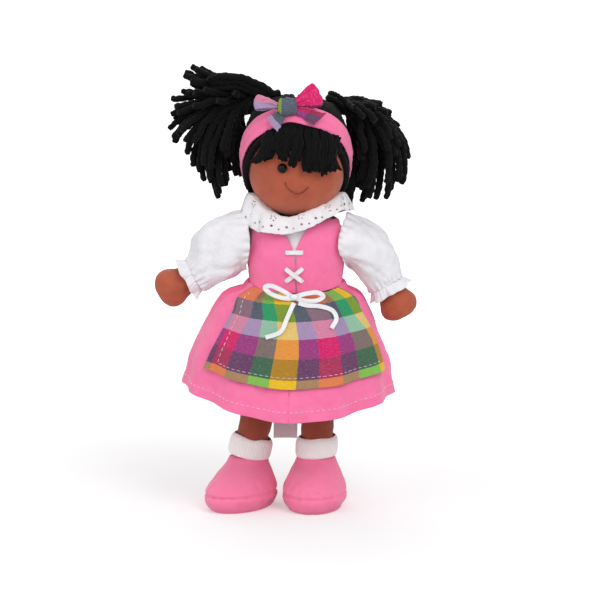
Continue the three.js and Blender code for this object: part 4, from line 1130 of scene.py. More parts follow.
def stuffed(name, node, cover, voxel, seams, cap, pressure, growth, inset, dimples=()):
    """Cloth swollen by its stuffing between sewn seams, run as a short cloth simulation.
    Each seam gives the distance of points from it, in millimetres."""
    item = copied(name, node, voxel)
    rest = coordinates(item)
    normals = mesh_normals(item)
    held = np.zeros(len(rest))
    for seam in seams:
        held = np.maximum(held, np.exp(-(seam(rest) / (0.62 * voxel)) ** 2))
    start = rest - normals * (inset * 0.6 + inset * held)[:, None]
    start = swollen(item, start, rest, held, cap, pressure, growth)
    for centre, radius, depth in dimples:
        near = np.exp(-(np.linalg.norm(start - centre, axis=1) / radius) ** 2)
        start = start - normals * (near * depth)[:, None]
    set_coordinates(item, start)
    smoother = item.modifiers.new("smooth", "SUBSURF")
    smoother.levels = smoother.render_levels = 1
    apply_all(item)
    item.data.materials.append(MATERIALS[cover])
    item.data.shade_smooth()
    return item


PUFF_FRAMES = 20
ENLARGED = MM * 10
# A gap to a seam that leaves the cloth free
FAR = 99.0


def swollen(item, start, rest, held, cap, pressure, growth):
    """Runs the stuffing's pressure on a copy ten times as large, where it is steadier."""
    scene = bpy.context.scene
    centre = start.mean(axis=0)
    large = (start - centre) * ENLARGED
    item.data.vertices.foreach_set("co", large.ravel())
    item.data.update()
    group = item.vertex_groups.new(name="seam")
    for index, weight in enumerate(held):
        if weight > 0.3:
            group.add([index], min(float(weight), 1.0), "REPLACE")
    modifier = item.modifiers.new("stuffing", "CLOTH")
    settings = modifier.settings
    settings.quality = 6
    settings.mass = 0.3
    settings.tension_stiffness = 15
    settings.compression_stiffness = 15
    settings.shear_stiffness = 8
    settings.bending_stiffness = 0.8
    settings.use_pressure = True
    settings.uniform_pressure_force = pressure
    settings.shrink_min = -growth
    settings.vertex_group_mass = "seam"
    settings.effector_weights.gravity = 0
    modifier.point_cache.frame_start = 1
    modifier.point_cache.frame_end = PUFF_FRAMES
    for number in range(1, PUFF_FRAMES + 1):
        scene.frame_set(number)
    ready = item.evaluated_get(bpy.context.evaluated_depsgraph_get())
    moved = np.empty(len(start) * 3)
    ready.data.vertices.foreach_get("co", moved)
    moved = moved.reshape(-1, 3) / ENLARGED + centre
    item.modifiers.remove(modifier)
    item.vertex_groups.clear()
    scene.frame_set(1)
    step = moved - rest
    length = np.linalg.norm(step, axis=1, keepdims=True)
    return rest + step * np.minimum(1, cap / np.maximum(length, 1e-9))


def arm_route(side):
    """An arm's middle line, its wrist, and the hand's way and length."""
    reach, drop, hand_reach, hand_drop = (
        (36.5, 24.5, 25.0, 14.0) if side == RIGHT else (29.0, 30.5, 13.0, 23.0))
    shoulder = np.array([side * 30.7, 0.0, SHOULDER])
    wrist = shoulder + (side * reach, 0, -drop)
    hand_way = unit(np.array([side * hand_reach, 0.0, -hand_drop]))
    pull = math.hypot(reach, drop) * 0.42
    points = drawn(shoulder, shoulder + (side * pull, 0, 0), wrist - hand_way * pull, wrist, 80)
    return points, wrist, hand_way, math.hypot(hand_reach, hand_drop)


def middle_seam(points):
    """Distance from the seam between a limb's front and back halves."""
    return np.abs(points[:, 1])


def from_line(points, start, end):
    """The gap from the nearest place on a line to each point."""
    way = end - start
    share = np.clip(((points - start) @ way) / (way @ way), 0, 1)
    return points - (start + share[:, None] * way)


def stuffed_limb(node, cover, *filling):
    limb = stuffed(f"{node}_stuffed", node, cover, *filling)
    fastened(limb, node, node)


def make_limbs():
    for name, side in SIDES:
        _, wrist, hand_way, hand_length = arm_route(side)
        crook = wrist + hand_way * (0.55 * hand_length)
        across = np.array([-hand_way[2], 0.0, hand_way[0]])
        if across[2] > 0:
            across = -across
        start = crook + across * 5.0
        end = start + across * 6.0 + hand_way * 2.0

        def thumb(points):
            near = from_line(points, start, end)
            return np.where(points[:, 1] < 0, np.linalg.norm(near[:, [0, 2]], axis=1), FAR)

        stuffed_limb(f"arm_{name}", "skin", 2.2, (middle_seam, thumb), 1.4, 3.0, 0.05, 0.8)
        # The legs get the brown cotton with painted shade from the skirt
        stuffed_limb(f"leg_{name}", "legs", 2.4, (middle_seam,), 1.4, 3.0, 0.05, 0.7)
    stuffed_limb("torso", "skin", 3.6, (), 0.1, 1.0, 0.0, 1.3)
    stuffed_limb("neck", "skin", 1.6, (), 0.2, 1.0, 0.0, 0.2)


ANKLE_OUT = {LEFT: 13.4, RIGHT: 32.0}
SOLE_CLEARANCE = 0.15


def make_shoes():
    for name, side in SIDES:
        middle = np.array([side * ANKLE_OUT[side], -9.0])
        tuck_rng = np.random.default_rng(60 + side)
        spokes = tuck_rng.uniform(0, TURN, 9)

        def welt(points):
            return np.abs(points[:, 2] - 10.5)

        def tucks(points):
            flat = points[:, :2] - middle
            angle = np.arctan2(flat[:, 1], flat[:, 0])
            away = np.linalg.norm(flat, axis=1)
            gap = np.full(len(points), FAR)
            for spoke in spokes:
                turned = (angle - spoke + math.pi) % TURN - math.pi
                low = np.maximum(np.abs(points[:, 2] - 12.5) - 3.0, 0)
                gap = np.minimum(gap, np.hypot(turned * away, low))
            return gap * 1.2

        form = stuffed(f"shoe_{name}_stuffed", f"shoe_{name}", "pink_stuffed", 2.0,
                       (welt, tucks), 1.6, 4.0, 0.06, 0.8)
        points = coordinates(form)
        flat = points[:, :2] - middle
        away = np.linalg.norm(flat, axis=1)
        level = points[:, 2]
        bulge = 2.3 * (1 - smooth(level, 10, 23)) * (0.25 + 0.75 * smooth(level, 1.5, 9))
        flat = flat / np.maximum(away, 0.1)[:, None]
        tuck = 0.35 * np.sin(np.arctan2(flat[:, 1], flat[:, 0]) * 31) * smooth(-flat[:, 1], 0, 0.8)
        seam = (1.0 + tuck) * np.exp(-((level - 10.4) / 0.9) ** 2)
        points[:, :2] += flat * (bulge * smooth(away, 2, 10) - seam)[:, None]
        points[:, 2] -= 2.5 * (1 - smooth(level, 2.5, 9))
        points[:, 2] = np.maximum(points[:, 2], SOLE_CLEARANCE)
        set_coordinates(form, points)
        fastened(form, f"leg_{name}", f"shoe_{name}")
        base = stuffed(f"sole_{name}_stuffed", f"sole_{name}", "pink_stuffed", 1.0,
                       (), 0.2, 0.5, 0.0, 0.1)
        fastened(base, f"leg_{name}", f"sole_{name}")


# Head and face

EYE_ACROSS = 9.0
EYE_LEVEL = -3.0
EYE_RADIUS = 3.2


def on_head(direction, offset):
    """Points on the head's egg along directions from its middle, stood off by some distance."""
    half = HEAD_HALF + np.asarray(offset, float)[..., None]
    share = np.abs(direction / half)
    flat = (share[..., 0] ** 2 + share[..., 1] ** 2) ** (HEAD_FULLNESS / 2)
    reach = (flat + share[..., 2] ** HEAD_FULLNESS) ** (-1 / HEAD_FULLNESS)
    return direction * reach[..., None] + HEAD_CENTRE


def on_face(across, up, offset):
    """Points on the head's front by their place across and their height from its middle."""
    half = HEAD_HALF + np.asarray(offset, float)[..., None]
    lengthwise = (1 - np.abs(up / half[..., 2]) ** HEAD_FULLNESS) ** (2 / HEAD_FULLNESS)
    depth = np.sqrt(np.maximum(lengthwise - (across / half[..., 0]) ** 2, 0))
    return np.stack([across + 0 * depth, -half[..., 1] * depth, HEAD_MIDDLE + up + 0 * depth], -1)


def by_eye(side, aside=0.0, up=0.0, offset=0.0):
    """A point on the face beside the middle of an eye."""
    return on_face(np.array(side * EYE_ACROSS + aside), np.array(EYE_LEVEL + up), offset)


def from_back(polar, around):
    """A direction by its angle from the back of the head and its turn around that axis."""
    return np.stack([np.sin(polar) * np.cos(around), np.cos(polar) + 0 * around,
                     np.sin(polar) * np.sin(around)], -1)


def outside_head(points, offset):
    """Moves points that lie inside the head's surface out to it."""
    way = points - HEAD_CENTRE
    skin = on_head(unit(way), offset)
    inside = np.linalg.norm(way, axis=-1) < np.linalg.norm(skin - HEAD_CENTRE, axis=-1)
    return np.where(inside[..., None], skin, points)


DARTS = (((-17.5, 8.0), (-17.0, -8.0)), ((-17.0, -8.0), (-14.0, -20.0)),
         ((19.0, -3.0), (18.0, -14.0)))


def darts(points):
    """Distance from the head's darts, a little widened."""
    gap = np.full(len(points), FAR)
    for dart in DARTS:
        start, end = (on_face(np.array(x), np.array(z), 0.0) for x, z in dart)
        gap = np.minimum(gap, np.linalg.norm(from_line(points, start, end), axis=1))
    return gap * 1.3


def sewn_smile(name, route, length, gap, thick):
    """Stitches of the smile along a route on the face."""
    out = unit(route - HEAD_CENTRE)
    return stitched(name, route, out, "smile", length, gap, thick)


def make_head():
    dimples = [(by_eye(side), 5.5, 1.0) for _, side in SIDES]
    smile_middle = on_face(np.array(0.8), np.array(-19.0), 0.0)
    head = stuffed("head_stuffed", "head", "skin", 2.8, (darts,), 1.2, 3.0, 0.03, 0.5,
                   (*dimples, (smile_middle, 6.0, 0.5)))
    fastened(head, "head", "head")

    step = 0.3
    for name, side in SIDES:
        out = unit(np.cross(by_eye(side, step) - by_eye(side, -step),
                            by_eye(side, 0.0, step) - by_eye(side, 0.0, -step)))
        bpy.ops.object.select_all(action="DESELECT")
        bpy.ops.mesh.primitive_uv_sphere_add(segments=48, ring_count=24, radius=EYE_RADIUS * MM)
        eye = bpy.context.object
        eye.name = f"eye_{name}_bead"
        eye.scale = (1.0, 1.0, 0.8)
        eye.rotation_mode = "QUATERNION"
        eye.rotation_quaternion = Vector(out).to_track_quat("Z", "Y")
        eye.location = place(by_eye(side, offset=0.1))
        bpy.ops.object.transform_apply(location=True, rotation=True, scale=True)
        bpy.ops.object.shade_smooth()
        eye.data.materials.append(MATERIALS["bead"])
        fastened(eye, "head", f"eye_{name}")

    share = np.linspace(-0.5, 0.5, 160)
    route = on_face(1.0 + share * 16.4, -13.6 - 6.4 * (1 - (2 * share) ** 2), 0.12)
    smile = sewn_smile("smile_thread", route, 3.1, 0.15, 0.6)
    fastened(smile, "head", "smile_stitch")
    turned = np.linspace(-1, 1, 30)
    corner = on_face(-7.1 + 0.3 * turned, -13.4 + 1.3 * turned, 0.3)
    fastened(sewn_smile("smile_corner", corner, 1.5, 0.2, 0.9), "head")


# Hair

# Reach, rise and drop of each bunch, and its outline from the root over the top, as shares
BUNCHES = {
    LEFT: (46.0, 6.0, 70.0, (
        (0.02, 0.4), (0.12, 1), (0.24, 0.5), (0.55, 0.3), (0.71, -0.07), (0.8, -0.16),
        (0.9, -0.3), (1, -0.54), (0.94, -0.6), (0.97, -0.71), (0.9, -0.8), (0.74, -0.83),
        (0.7, -0.93), (0.56, -0.95), (0.44, -1), (0.32, -0.94), (0.25, -0.76), (0.24, -0.5))),
    RIGHT: (58.0, 26.0, 66.0, (
        (0.02, 0.5), (0.25, 0.72), (0.43, 0.77), (0.62, 1), (0.82, 0.97), (0.72, 0.46),
        (0.95, 0.17), (0.95, -0.19), (1, -0.28), (0.82, -0.46), (0.73, -0.57), (0.57, -0.78),
        (0.5, -0.8), (0.39, -1), (0.3, -0.88), (0.24, -0.74), (0.2, -0.6), (0.19, -0.44))),
}
BUNCH_DEPTH = 25.0
# Tilt in degrees from the front to the back of a bunch, with each row's share of the strands
BUNCH_ROWS = ((-60, 0.08), (-40, 0.13), (-20, 0.17), (0, 0.2), (20, 0.16), (40, 0.14), (60, 0.12))
# The strands that arch over the root at the viewer's left, across and up
HUMP = np.array([(-9.0, 271.5), (-15.0, 276.0), (-21.5, 280.4), (-28.0, 283.4), (-36.0, 286.6),
                 (-46.0, 287.5), (-56.0, 286.0)])
YARN_LIFT = 3.0


def tie_direction(side):
    return np.array([side * 0.56, 0.3, 0.7])


def bunch_root(side):
    """The middle of the tie, above and behind an end of the headband, and the bunch's way."""
    at = on_head(tie_direction(side), YARN_LIFT)
    half = HEAD_HALF + YARN_LIFT
    share = (at - HEAD_CENTRE) / half
    level = math.hypot(share[0], share[1]) ** (HEAD_FULLNESS - 2)
    out = np.array([level * share[0], level * share[1],
                    abs(share[2]) ** (HEAD_FULLNESS - 1)]) / half
    return at + unit(out) * 6.6, unit(tie_direction(side))


def beside(way):
    """Two directions square to a way."""
    aside = unit(np.cross(way, (0.0, 1.0, 0.0)))
    return aside, np.cross(way, aside)


def strand(route, seed, radius, wander=0.9):
    """One strand of yarn along a route, with the small bends that a cut strand keeps."""
    rng = np.random.default_rng(seed)
    points = even(route, 1.5)
    share = np.linspace(0, 1, len(points))[:, None]
    for turns in (1.0, 2.3, 4.1):
        way = unit(rng.normal(size=3))
        swing = np.sin(share * TURN * turns * rng.uniform(0.7, 1.2) + rng.uniform(0, TURN))
        points = points + way * swing * wander * smooth(share, 0.0, 0.3) / turns ** 0.6
    points = outside_head(points, YARN_LIFT + radius)
    return twisted(points, radius, 15.0, phase=rng.uniform(0, TURN), blunt=0.72)


def bunch_parts(side):
    """Strands that leave the tie, fan out and droop to their cut ends."""
    rng = np.random.default_rng(300 + side)
    reach, rise, drop, shares = BUNCHES[side]
    outline = np.array([(x * reach, z * (rise if z > 0 else drop)) for x, z in shares])
    edge = Curve(np.column_stack([outline, np.zeros(len(outline))]))
    root, way = bunch_root(side)
    heart = np.array([0.48 * reach, (rise - drop) / 4])
    radius = sizes().yarn / MM / 2
    aside, ahead = beside(way)
    parts = []

    def in_tie(turned, spread, deep):
        return (root + aside * (spread * math.cos(turned)) + ahead * (spread * math.sin(turned))
                - way * deep)

    def add_strand(start, handle, end, tip):
        route = drawn(start, handle, end, tip, 28)
        parts.append(strand(route, rng.integers(1 << 30), radius * rng.uniform(0.9, 1.08)))

    for tilt, portion in BUNCH_ROWS:
        count = max(int(round(sizes().strands * portion)), 2)
        for number in range(count):
            spot = (number + rng.uniform(0.15, 0.85)) / count
            lean = math.radians(tilt + rng.uniform(-8, 8))
            at = edge.along(np.array(spot))[:2]
            flat = heart + (at - heart) * math.cos(lean) ** 0.8 * rng.uniform(0.9, 1.0)
            tip = root + np.array([side * flat[0], BUNCH_DEPTH * math.sin(lean), flat[1]])
            gap = tip - root
            length = np.linalg.norm(gap)
            if length < 20:
                continue
            start = in_tie(rng.uniform(0, TURN), 5.2 * math.sqrt(rng.uniform(0, 1)), 4.0)
            falling = float(np.clip(-gap[2] / 50, 0, 1))
            first = unit(mix(way, gap / length, 0.35 if side == RIGHT else 0.5))
            handle = start + way * 4.0 + first * (0.34 * length)
            droop = mix(-gap / length * 0.3 * length,
                        np.array([side * 0.12 * length, 0.0, 0.36 * length]), falling)
            add_strand(start, handle, tip + droop, tip)
    for number in range(8 if side == RIGHT else 0):
        lift = -1.1 * number + rng.uniform(-0.8, 0.2)
        deep = 1.6 * (number * 3 % 8) + 1.0
        route = np.column_stack([HUMP[:, 0], np.full(len(HUMP), deep), HUMP[:, 1] + lift])
        parts.append(strand(Curve(route).along(np.linspace(0, 1, 40)),
                            rng.integers(1 << 30), radius, wander=0.6))
    first_end, last_end = (0.5, 1.03) if side == LEFT else (0.36, 0.74)
    for number in range(16):
        down = mix(first_end, last_end, (number % 8) / 7)
        tip = root + (side * reach * rng.uniform(0.02, 0.24), 4.0 + 15.0 * (number // 8 - 0.6),
                      -drop * down * rng.uniform(0.92, 1.04))
        start = in_tie(rng.uniform(0, TURN), 4, 3.0)
        handle = start + way * 10.0 + (side * 9.0, 0.0, -2.0)
        add_strand(start, handle, mix(handle, tip, 0.55) + (side * 5.0, 0.0, 4.0), tip)
    return parts


def cap_edge(around):
    """How far the hair cap reaches from the back of the head, by the turn around that axis."""
    return np.radians(106 + 42 * np.sin(around) + 8 * np.cos(2 * around))


def cap_parts(side):
    """Strands that lie on the cap, from the hairline and the back parting to the tie."""
    rng = np.random.default_rng(500 + side)
    root, way = bunch_root(side)
    starts = []
    for around in np.radians(np.arange(84, -87, -6.3)):
        starts.append(from_back(cap_edge(around) - 0.02, around) * (side, 1, 1))
    for polar in np.radians(np.arange(132, -50, -5.4)):
        starts.append(from_back(polar, np.array(math.pi / 2)) + np.array([side * 0.035, 0, 0]))
    parts = []
    for start in starts:
        start = unit(np.asarray(start, float))
        share = np.linspace(0, 1, 30)[:, None]
        points = on_head(unit(mix(start, way, share ** 0.9)), 1.7 + rng.uniform(0, 0.35))
        tie_place = root - way * 2.5 + unit(start - way * (start @ way)) * 4.4
        points = mix(points, tie_place[None] + 0 * points, smooth(share, 0.72, 1.0))
        parts.append(twisted(even(points, 1.6), 2.0, 14.0, 3, 8, rng.uniform(0, TURN), 0.7))
    around = np.radians(np.linspace(-84, 90, 90))
    ways = from_back(cap_edge(around) - 0.01, around) * (side, 1, 1)
    parts.append(twisted(even(on_head(ways, 2.1), 1.6), 2.2, 11.0, 3, 10, 0.0, 0.7))
    return parts


def ring_route(centre, way, radius, count=72):
    """A ring of points around a centre, square to a way."""
    aside, ahead = beside(way)
    angle = np.arange(count)[:, None] / count * TURN
    return centre + aside * radius * np.cos(angle) + ahead * radius * np.sin(angle)


def make_hair():
    def under(u, v):
        around = u * TURN
        polar = cap_edge(around) * mix(0.001, 1.0, v)
        ways = from_back(polar, around)
        return on_head(ways, 0.9 + 0.25 * relief(ways * 40, 9, 71))

    shell = cloth("hair_cap_cloth", under, 150, 90, "brushed", (120, 90), 0.8, wrapped=True)
    fastened(shell, "head", "hair_cap")
    for name, side in SIDES:
        root, way = bunch_root(side)
        turns = [twisted(ring_route(root + way * shift, way, radius), 1.75, 8.0, phase=phase,
                         closed=True)
                 for shift, radius, phase in ((-1.7, 8.3, 0.0), (1.5, 8.7, 1.2))]
        for piece, parts, body, solid in (
                (f"cap_{name}_strands", cap_parts(side), "head", "hair_cap"),
                (f"bunch_{name}_strands", bunch_parts(side), f"bunch_{name}",
                 f"yarn_bunch_{name}"),
                (f"bunch_{name}_tie_yarn", turns, f"bunch_{name}", f"bunch_tie_{name}")):
            hair = new_piece(piece, *gathered(parts), "yarn")
            fastened(hair, body, solid)


# Length of the fringe from the viewer's left to the right, as shares of the longest tufts
TUFT_SHARES = (0.55, 0.8, 0.68, 0.85, 0.56, 0.52, 0.9, 0.98, 1.12, 1.14, 0.92, 1, 0.86, 0.92,
               0.5)


def make_fringe():
    """Cut yarn ends, brushed apart into flat tufts of fibres."""
    rng = np.random.default_rng(640)
    count = sizes().tufts
    parts = []
    for number in range(count):
        layer = number % 3
        spot = (number + 0.5 + rng.uniform(-0.3, 0.3)) / count
        across = 4.0 + mix(-1, 1, spot) * 24.0
        top = 25.0 - 7.0 * (across / 25.0) ** 2
        share = np.interp(spot, np.linspace(0, 1, len(TUFT_SHARES)), TUFT_SHARES)
        length = 27.5 * share * rng.uniform(0.86, 1.1) - (5.0 if layer == 2 else 0.0)
        lean = rng.normal(0, 4.2) + 0.05 * across
        width = rng.uniform(1.9, 2.8)
        bulge = rng.uniform(0.4, 1.6)
        sway, phase = rng.uniform(5, 9), rng.uniform(0, TURN)
        slant = rng.uniform(-0.08, 0.08)
        for fibre in range(7):
            place_across = (fibre - 3) / 3 + rng.uniform(-0.12, 0.12)
            end_cut = 1.0 + slant * place_across + rng.uniform(-0.03, 0.03)
            down = np.linspace(0, end_cut, 14)
            spread = mix(0.5, 1.0, smooth(down, 0.05, 0.6))
            kink = 0.95 * np.sin(down * sway + phase) + 0.2 * np.sin(down * 17 + fibre)
            x = across + lean * down ** 1.4 + place_across * width * spread + kink
            z = top - length * down
            off = (3.6 + 1.25 * layer + bulge * np.sin(down * math.pi) + rng.uniform(0, 0.9)
                   + 0.3 * np.sin(down * sway + phase))
            route = on_face(x, z, off)
            parts.append(twisted(route, rng.uniform(0.75, 1.05), 3.8, 2, 7, rng.uniform(0, TURN),
                                 0.8))
    tufts = new_piece("fringe_fibres", *gathered(parts), "brushed")
    fastened(tufts, "head", "fringe")


# Headband and its bow

# The bow's own up and out: it sits on the slope of the forehead
BOW_UP = np.array([0.0, 0.342, 0.94])
BOW_OUT = np.array([0.0, -0.94, 0.342])
BOW_TURN = TURN * 0.27
BAND_HALF = 13.5 / 2


def band_direction(around, across):
    """A direction to the headband, which leans to the front over the crown."""
    half = math.atan(BAND_HALF / HEAD_HALF[2])
    near_bow = np.exp(-((around - BOW_TURN) / 0.2) ** 2)
    polar = TURN / 4 + mix(-half, half, across) + (0.5 - across) * half * 0.7 * near_bow
    flat = from_back(polar, around)
    tilt = math.radians(40)
    return np.stack([flat[..., 0],
                     flat[..., 1] * math.cos(tilt) - flat[..., 2] * math.sin(tilt),
                     flat[..., 1] * math.sin(tilt) + flat[..., 2] * math.cos(tilt)], -1)


def make_headband():
    def band(u, v):
        around = u * TURN
        ways = band_direction(around, v)
        crown = 0.9 * (1 - np.abs(2 * v - 1) ** 4)
        fold = 0.32 * np.sin(v * TURN * 2.2 + 1.4 * np.sin(3 * around) + 0.6)
        gather = 0.35 * np.sin(v * TURN * 3) * np.exp(-((around - BOW_TURN) / 0.3) ** 2)
        return on_head(ways, 3.75 + crown + (fold + gather) * (1 - np.abs(2 * v - 1) ** 3)
                       + 0.15 * relief(ways * 36, 12, 75))

    ring = cloth("headband_cloth", band, 360, 26, "pink", (226, 27), 0.8, wrapped=True)
    fastened(ring, "head", "headband")


def bow_middle():
    tilt = math.radians(50)
    middle = on_head(np.array([-4.6 / HEAD_HALF[2], -math.cos(tilt), math.sin(tilt)]), 9.0)
    return middle + 2.2 * BOW_UP


def bow_place(angle, along, side, out):
    """A point of the bow by its way along and beside a loop's middle line."""
    across = along * math.cos(angle) - side * math.sin(angle)
    up = along * math.sin(angle) + side * math.cos(angle)
    points = bow_middle() + up[..., None] * BOW_UP + out[..., None] * BOW_OUT
    points[..., 0] += across
    return points


def cut_from(over, down):
    """Where a loop or an end was cut from the checked cloth: over it by v, down it by u."""
    def cut(u, v):
        return np.stack([mix(*over, v), mix(*down, u)], -1)
    return cut


def make_headband_bow():
    loops = (
        ("left", 22, 16.5, 14.5, (66.0, 78.0), (43.5, 55.0), 81),
        ("right", 173, 15.5, 9.0, (71.5, 60.5), (29.5, 42.6), 83),
    )
    for name, degrees, length, width, over, down, seed in loops:
        angle = math.radians(degrees)

        def loop(u, v):
            swing = u * math.pi
            reach = np.sin(swing)
            rounded = 1 - 0.1 * np.abs(2 * v - 1) ** 3
            along = 6.2 + length * reach * rounded
            full = 0.36 + 0.7 * smooth(reach, 0.0, 0.95) ** 0.8
            side = (v - 0.5) * width * full
            out = 2.9 * np.sin(2 * swing) * (0.75 + 0.25 * reach) + 1.1 * np.cos(swing)
            pleat = np.cos((v - 0.5) * TURN * 2.6 + seed) * np.exp(-reach / 0.34)
            out = out + 0.75 * pleat + 0.7 * np.sin((v - 0.3) * 6 + 3 * reach + seed)
            points = bow_place(angle, along, side, out)
            return points + 0.22 * relief(points, 9, seed)[..., None]

        item = cloth(f"bow_{name}_loop", loop, 120, 40, "check", (30, 15), 0.7,
                     flip=name == "right", cloth_place=cut_from(over, down))
        fastened(item, "head", f"headband_bow_loop_{name}")

    ends = (
        ("left", -21, 17.5, 10.0, (60.0, 70.5), (49.0, 64.0), 91),
        ("right", -128, 10.5, 12.0, (54.5, 65.0), (20.0, 35.0), 93),
    )
    for name, degrees, length, width, over, down, seed in ends:
        angle = math.radians(degrees)

        def end(u, v):
            along = 5.4 + length * u * (1 + 0.28 * (v - 0.5))
            side = (v - 0.5) * width * (0.42 + 0.6 * u)
            fold = 0.9 * np.sin((v - 0.5) * TURN * 1.3 + seed) * smooth(u, 0.0, 0.4)
            out = -1.0 - 1.4 * u * (1 - u) + fold * 0.6 + 0.35 * np.sin(u * 5 + seed)
            points = bow_place(angle, along, side, out)
            return points + 0.15 * relief(points, 8, seed)[..., None]

        item = cloth(f"bow_{name}_end", end, 70, 44, "check", (15, 11), 0.7,
                     flip=name == "right", cloth_place=cut_from(over, down))
        fastened(item, "head", f"headband_bow_end_{name}")

    def knot(u, v):
        around = u * TURN
        flank = np.sin(math.pi * v) ** 0.42
        wide = 6.2 * np.cos(math.pi * v)
        pleat = 1 + 0.05 * np.cos(v * TURN * 4 + 1.5 * np.sin(around))
        tall = 6.0 * flank * pleat
        deep = 4.0 * flank * pleat
        points = (bow_middle() + (tall * np.cos(around))[..., None] * BOW_UP
                  + (deep * np.sin(around))[..., None] * BOW_OUT)
        points[..., 0] -= wide
        return points + 0.18 * relief(points, 7, 97)[..., None]

    def knot_place(u, v):
        return np.stack([50.0 + 13.0 * v, 15.9 + 12.5 * np.abs(2 * u - 1)], -1)

    item = cloth("bow_knot", knot, 90, 60, "check", (13, 12), 0.0, wrapped=True,
                 cloth_place=knot_place)
    fastened(item, "head", "headband_bow_knot")


# Collar, sleeves and cuffs

# Heights of the collar's roll and of its edge by degrees around the neck, from the front
COLLAR_CREST = ((-180, 203), (-125, 207), (-90, 210), (-69, 210), (-51, 203.5), (-23, 197),
                (0, 196.2), (11, 200), (22, 202), (47, 205.6), (63, 208.8), (90, 210), (125, 207),
                (180, 203))
COLLAR_EDGE = ((-180, 190), (-90, 192), (-52, 188), (-35, 186), (-5, 187), (12.7, 190), (25, 194),
               (41, 198.5), (61, 202), (90, 198), (180, 190))


def eased(heights, degrees, wide, near):
    """Heights around the neck, each averaged with its neighbours on both sides."""
    around = [np.interp((degrees + shift + 180) % 360 - 180, *np.array(heights).T)
              for shift in (-wide, -near, 0, near, wide)]
    return sum(around) / len(around)


def collar_surface(u, v):
    """A gathered frill: it stands up from the neck seam and rolls over, out and down."""
    angle = (u * TURN + math.pi) % TURN - math.pi
    degrees = np.degrees(angle)
    crest = eased(COLLAR_CREST, degrees, 9, 4)
    edge = eased(COLLAR_EDGE, degrees, 12, 6)
    up = np.clip(v / 0.42, 0, 1)
    down = np.clip((v - 0.42) / 0.58, 0, 1)
    start = TORSO_TOP + 1.7
    height = mix(start, np.maximum(crest, start + 1.0), 1 - (1 - up) ** 2)
    height = height - (np.maximum(crest, start + 1.0) - edge) * down ** 1.7
    flute = np.sin(8 * angle + 0.8 * np.sin(2 * angle) + 0.5)
    wave = (0.4 + 1.5 * v) * v * flute + 0.5 * v * np.sin(19 * angle + 1)
    gather = 0.4 * np.sin(46 * angle) * (1 - smooth(v, 0.15, 0.7))
    wide = mix(13.0, 31.0, up) + 5.6 * down + wave + gather
    deep = mix(13.0, 20.0, up) + 8.0 * down + wave + gather
    point = oblong(angle, wide, deep, 0.0)
    point[..., 2] = height + 0.3 * wave + 0.3 * relief(point, 11, 101)
    return point


EYELET_GROUPS = 22


def make_collar():
    holes = []
    rims = []
    for number in range(EYELET_GROUPS):
        u = (number + 0.35) / EYELET_GROUPS
        holes.append((u, 0.84, 0.95))
        holes.append((u + 0.5 / EYELET_GROUPS, 0.9, 0.7))
        if number % 2 == 0:
            for turned in np.arange(5) / 5 * TURN:
                holes.append((u + 0.0082 * math.cos(turned), 0.6 + 0.075 * math.sin(turned), 0.55))
    spots = []
    for u, v, radius in holes:
        u, v = np.array(u), np.array(v)
        centre = collar_surface(u, v)
        spots.append((centre, radius))
        out = normals_of(collar_surface, u, v)
        route = ring_route(centre + out * 0.1, out, radius + 0.12, 14)
        rims.append(twisted(route, 0.26, 1.2, 2, 5, closed=True))
    frill = cloth("collar_cloth", collar_surface, 560, 68, "eyelet", (210, 34), 0.55,
                  wrapped=True, holes=spots)
    fastened(frill, "torso", "collar_frill")
    rings = new_piece("collar_eyelet_stitches", *gathered(rims), "stitch")
    fastened(rings, "torso")


ARMHOLE_PUFF = 17.0
# Each crease's angle around the sleeve, how it winds down it, and its depth
SLEEVE_CREASES = ((0.4, 1.7, 1.9), (2.5, -1.3, 1.5), (4.3, 1.5, 2.0), (5.3, -1.8, 1.5))


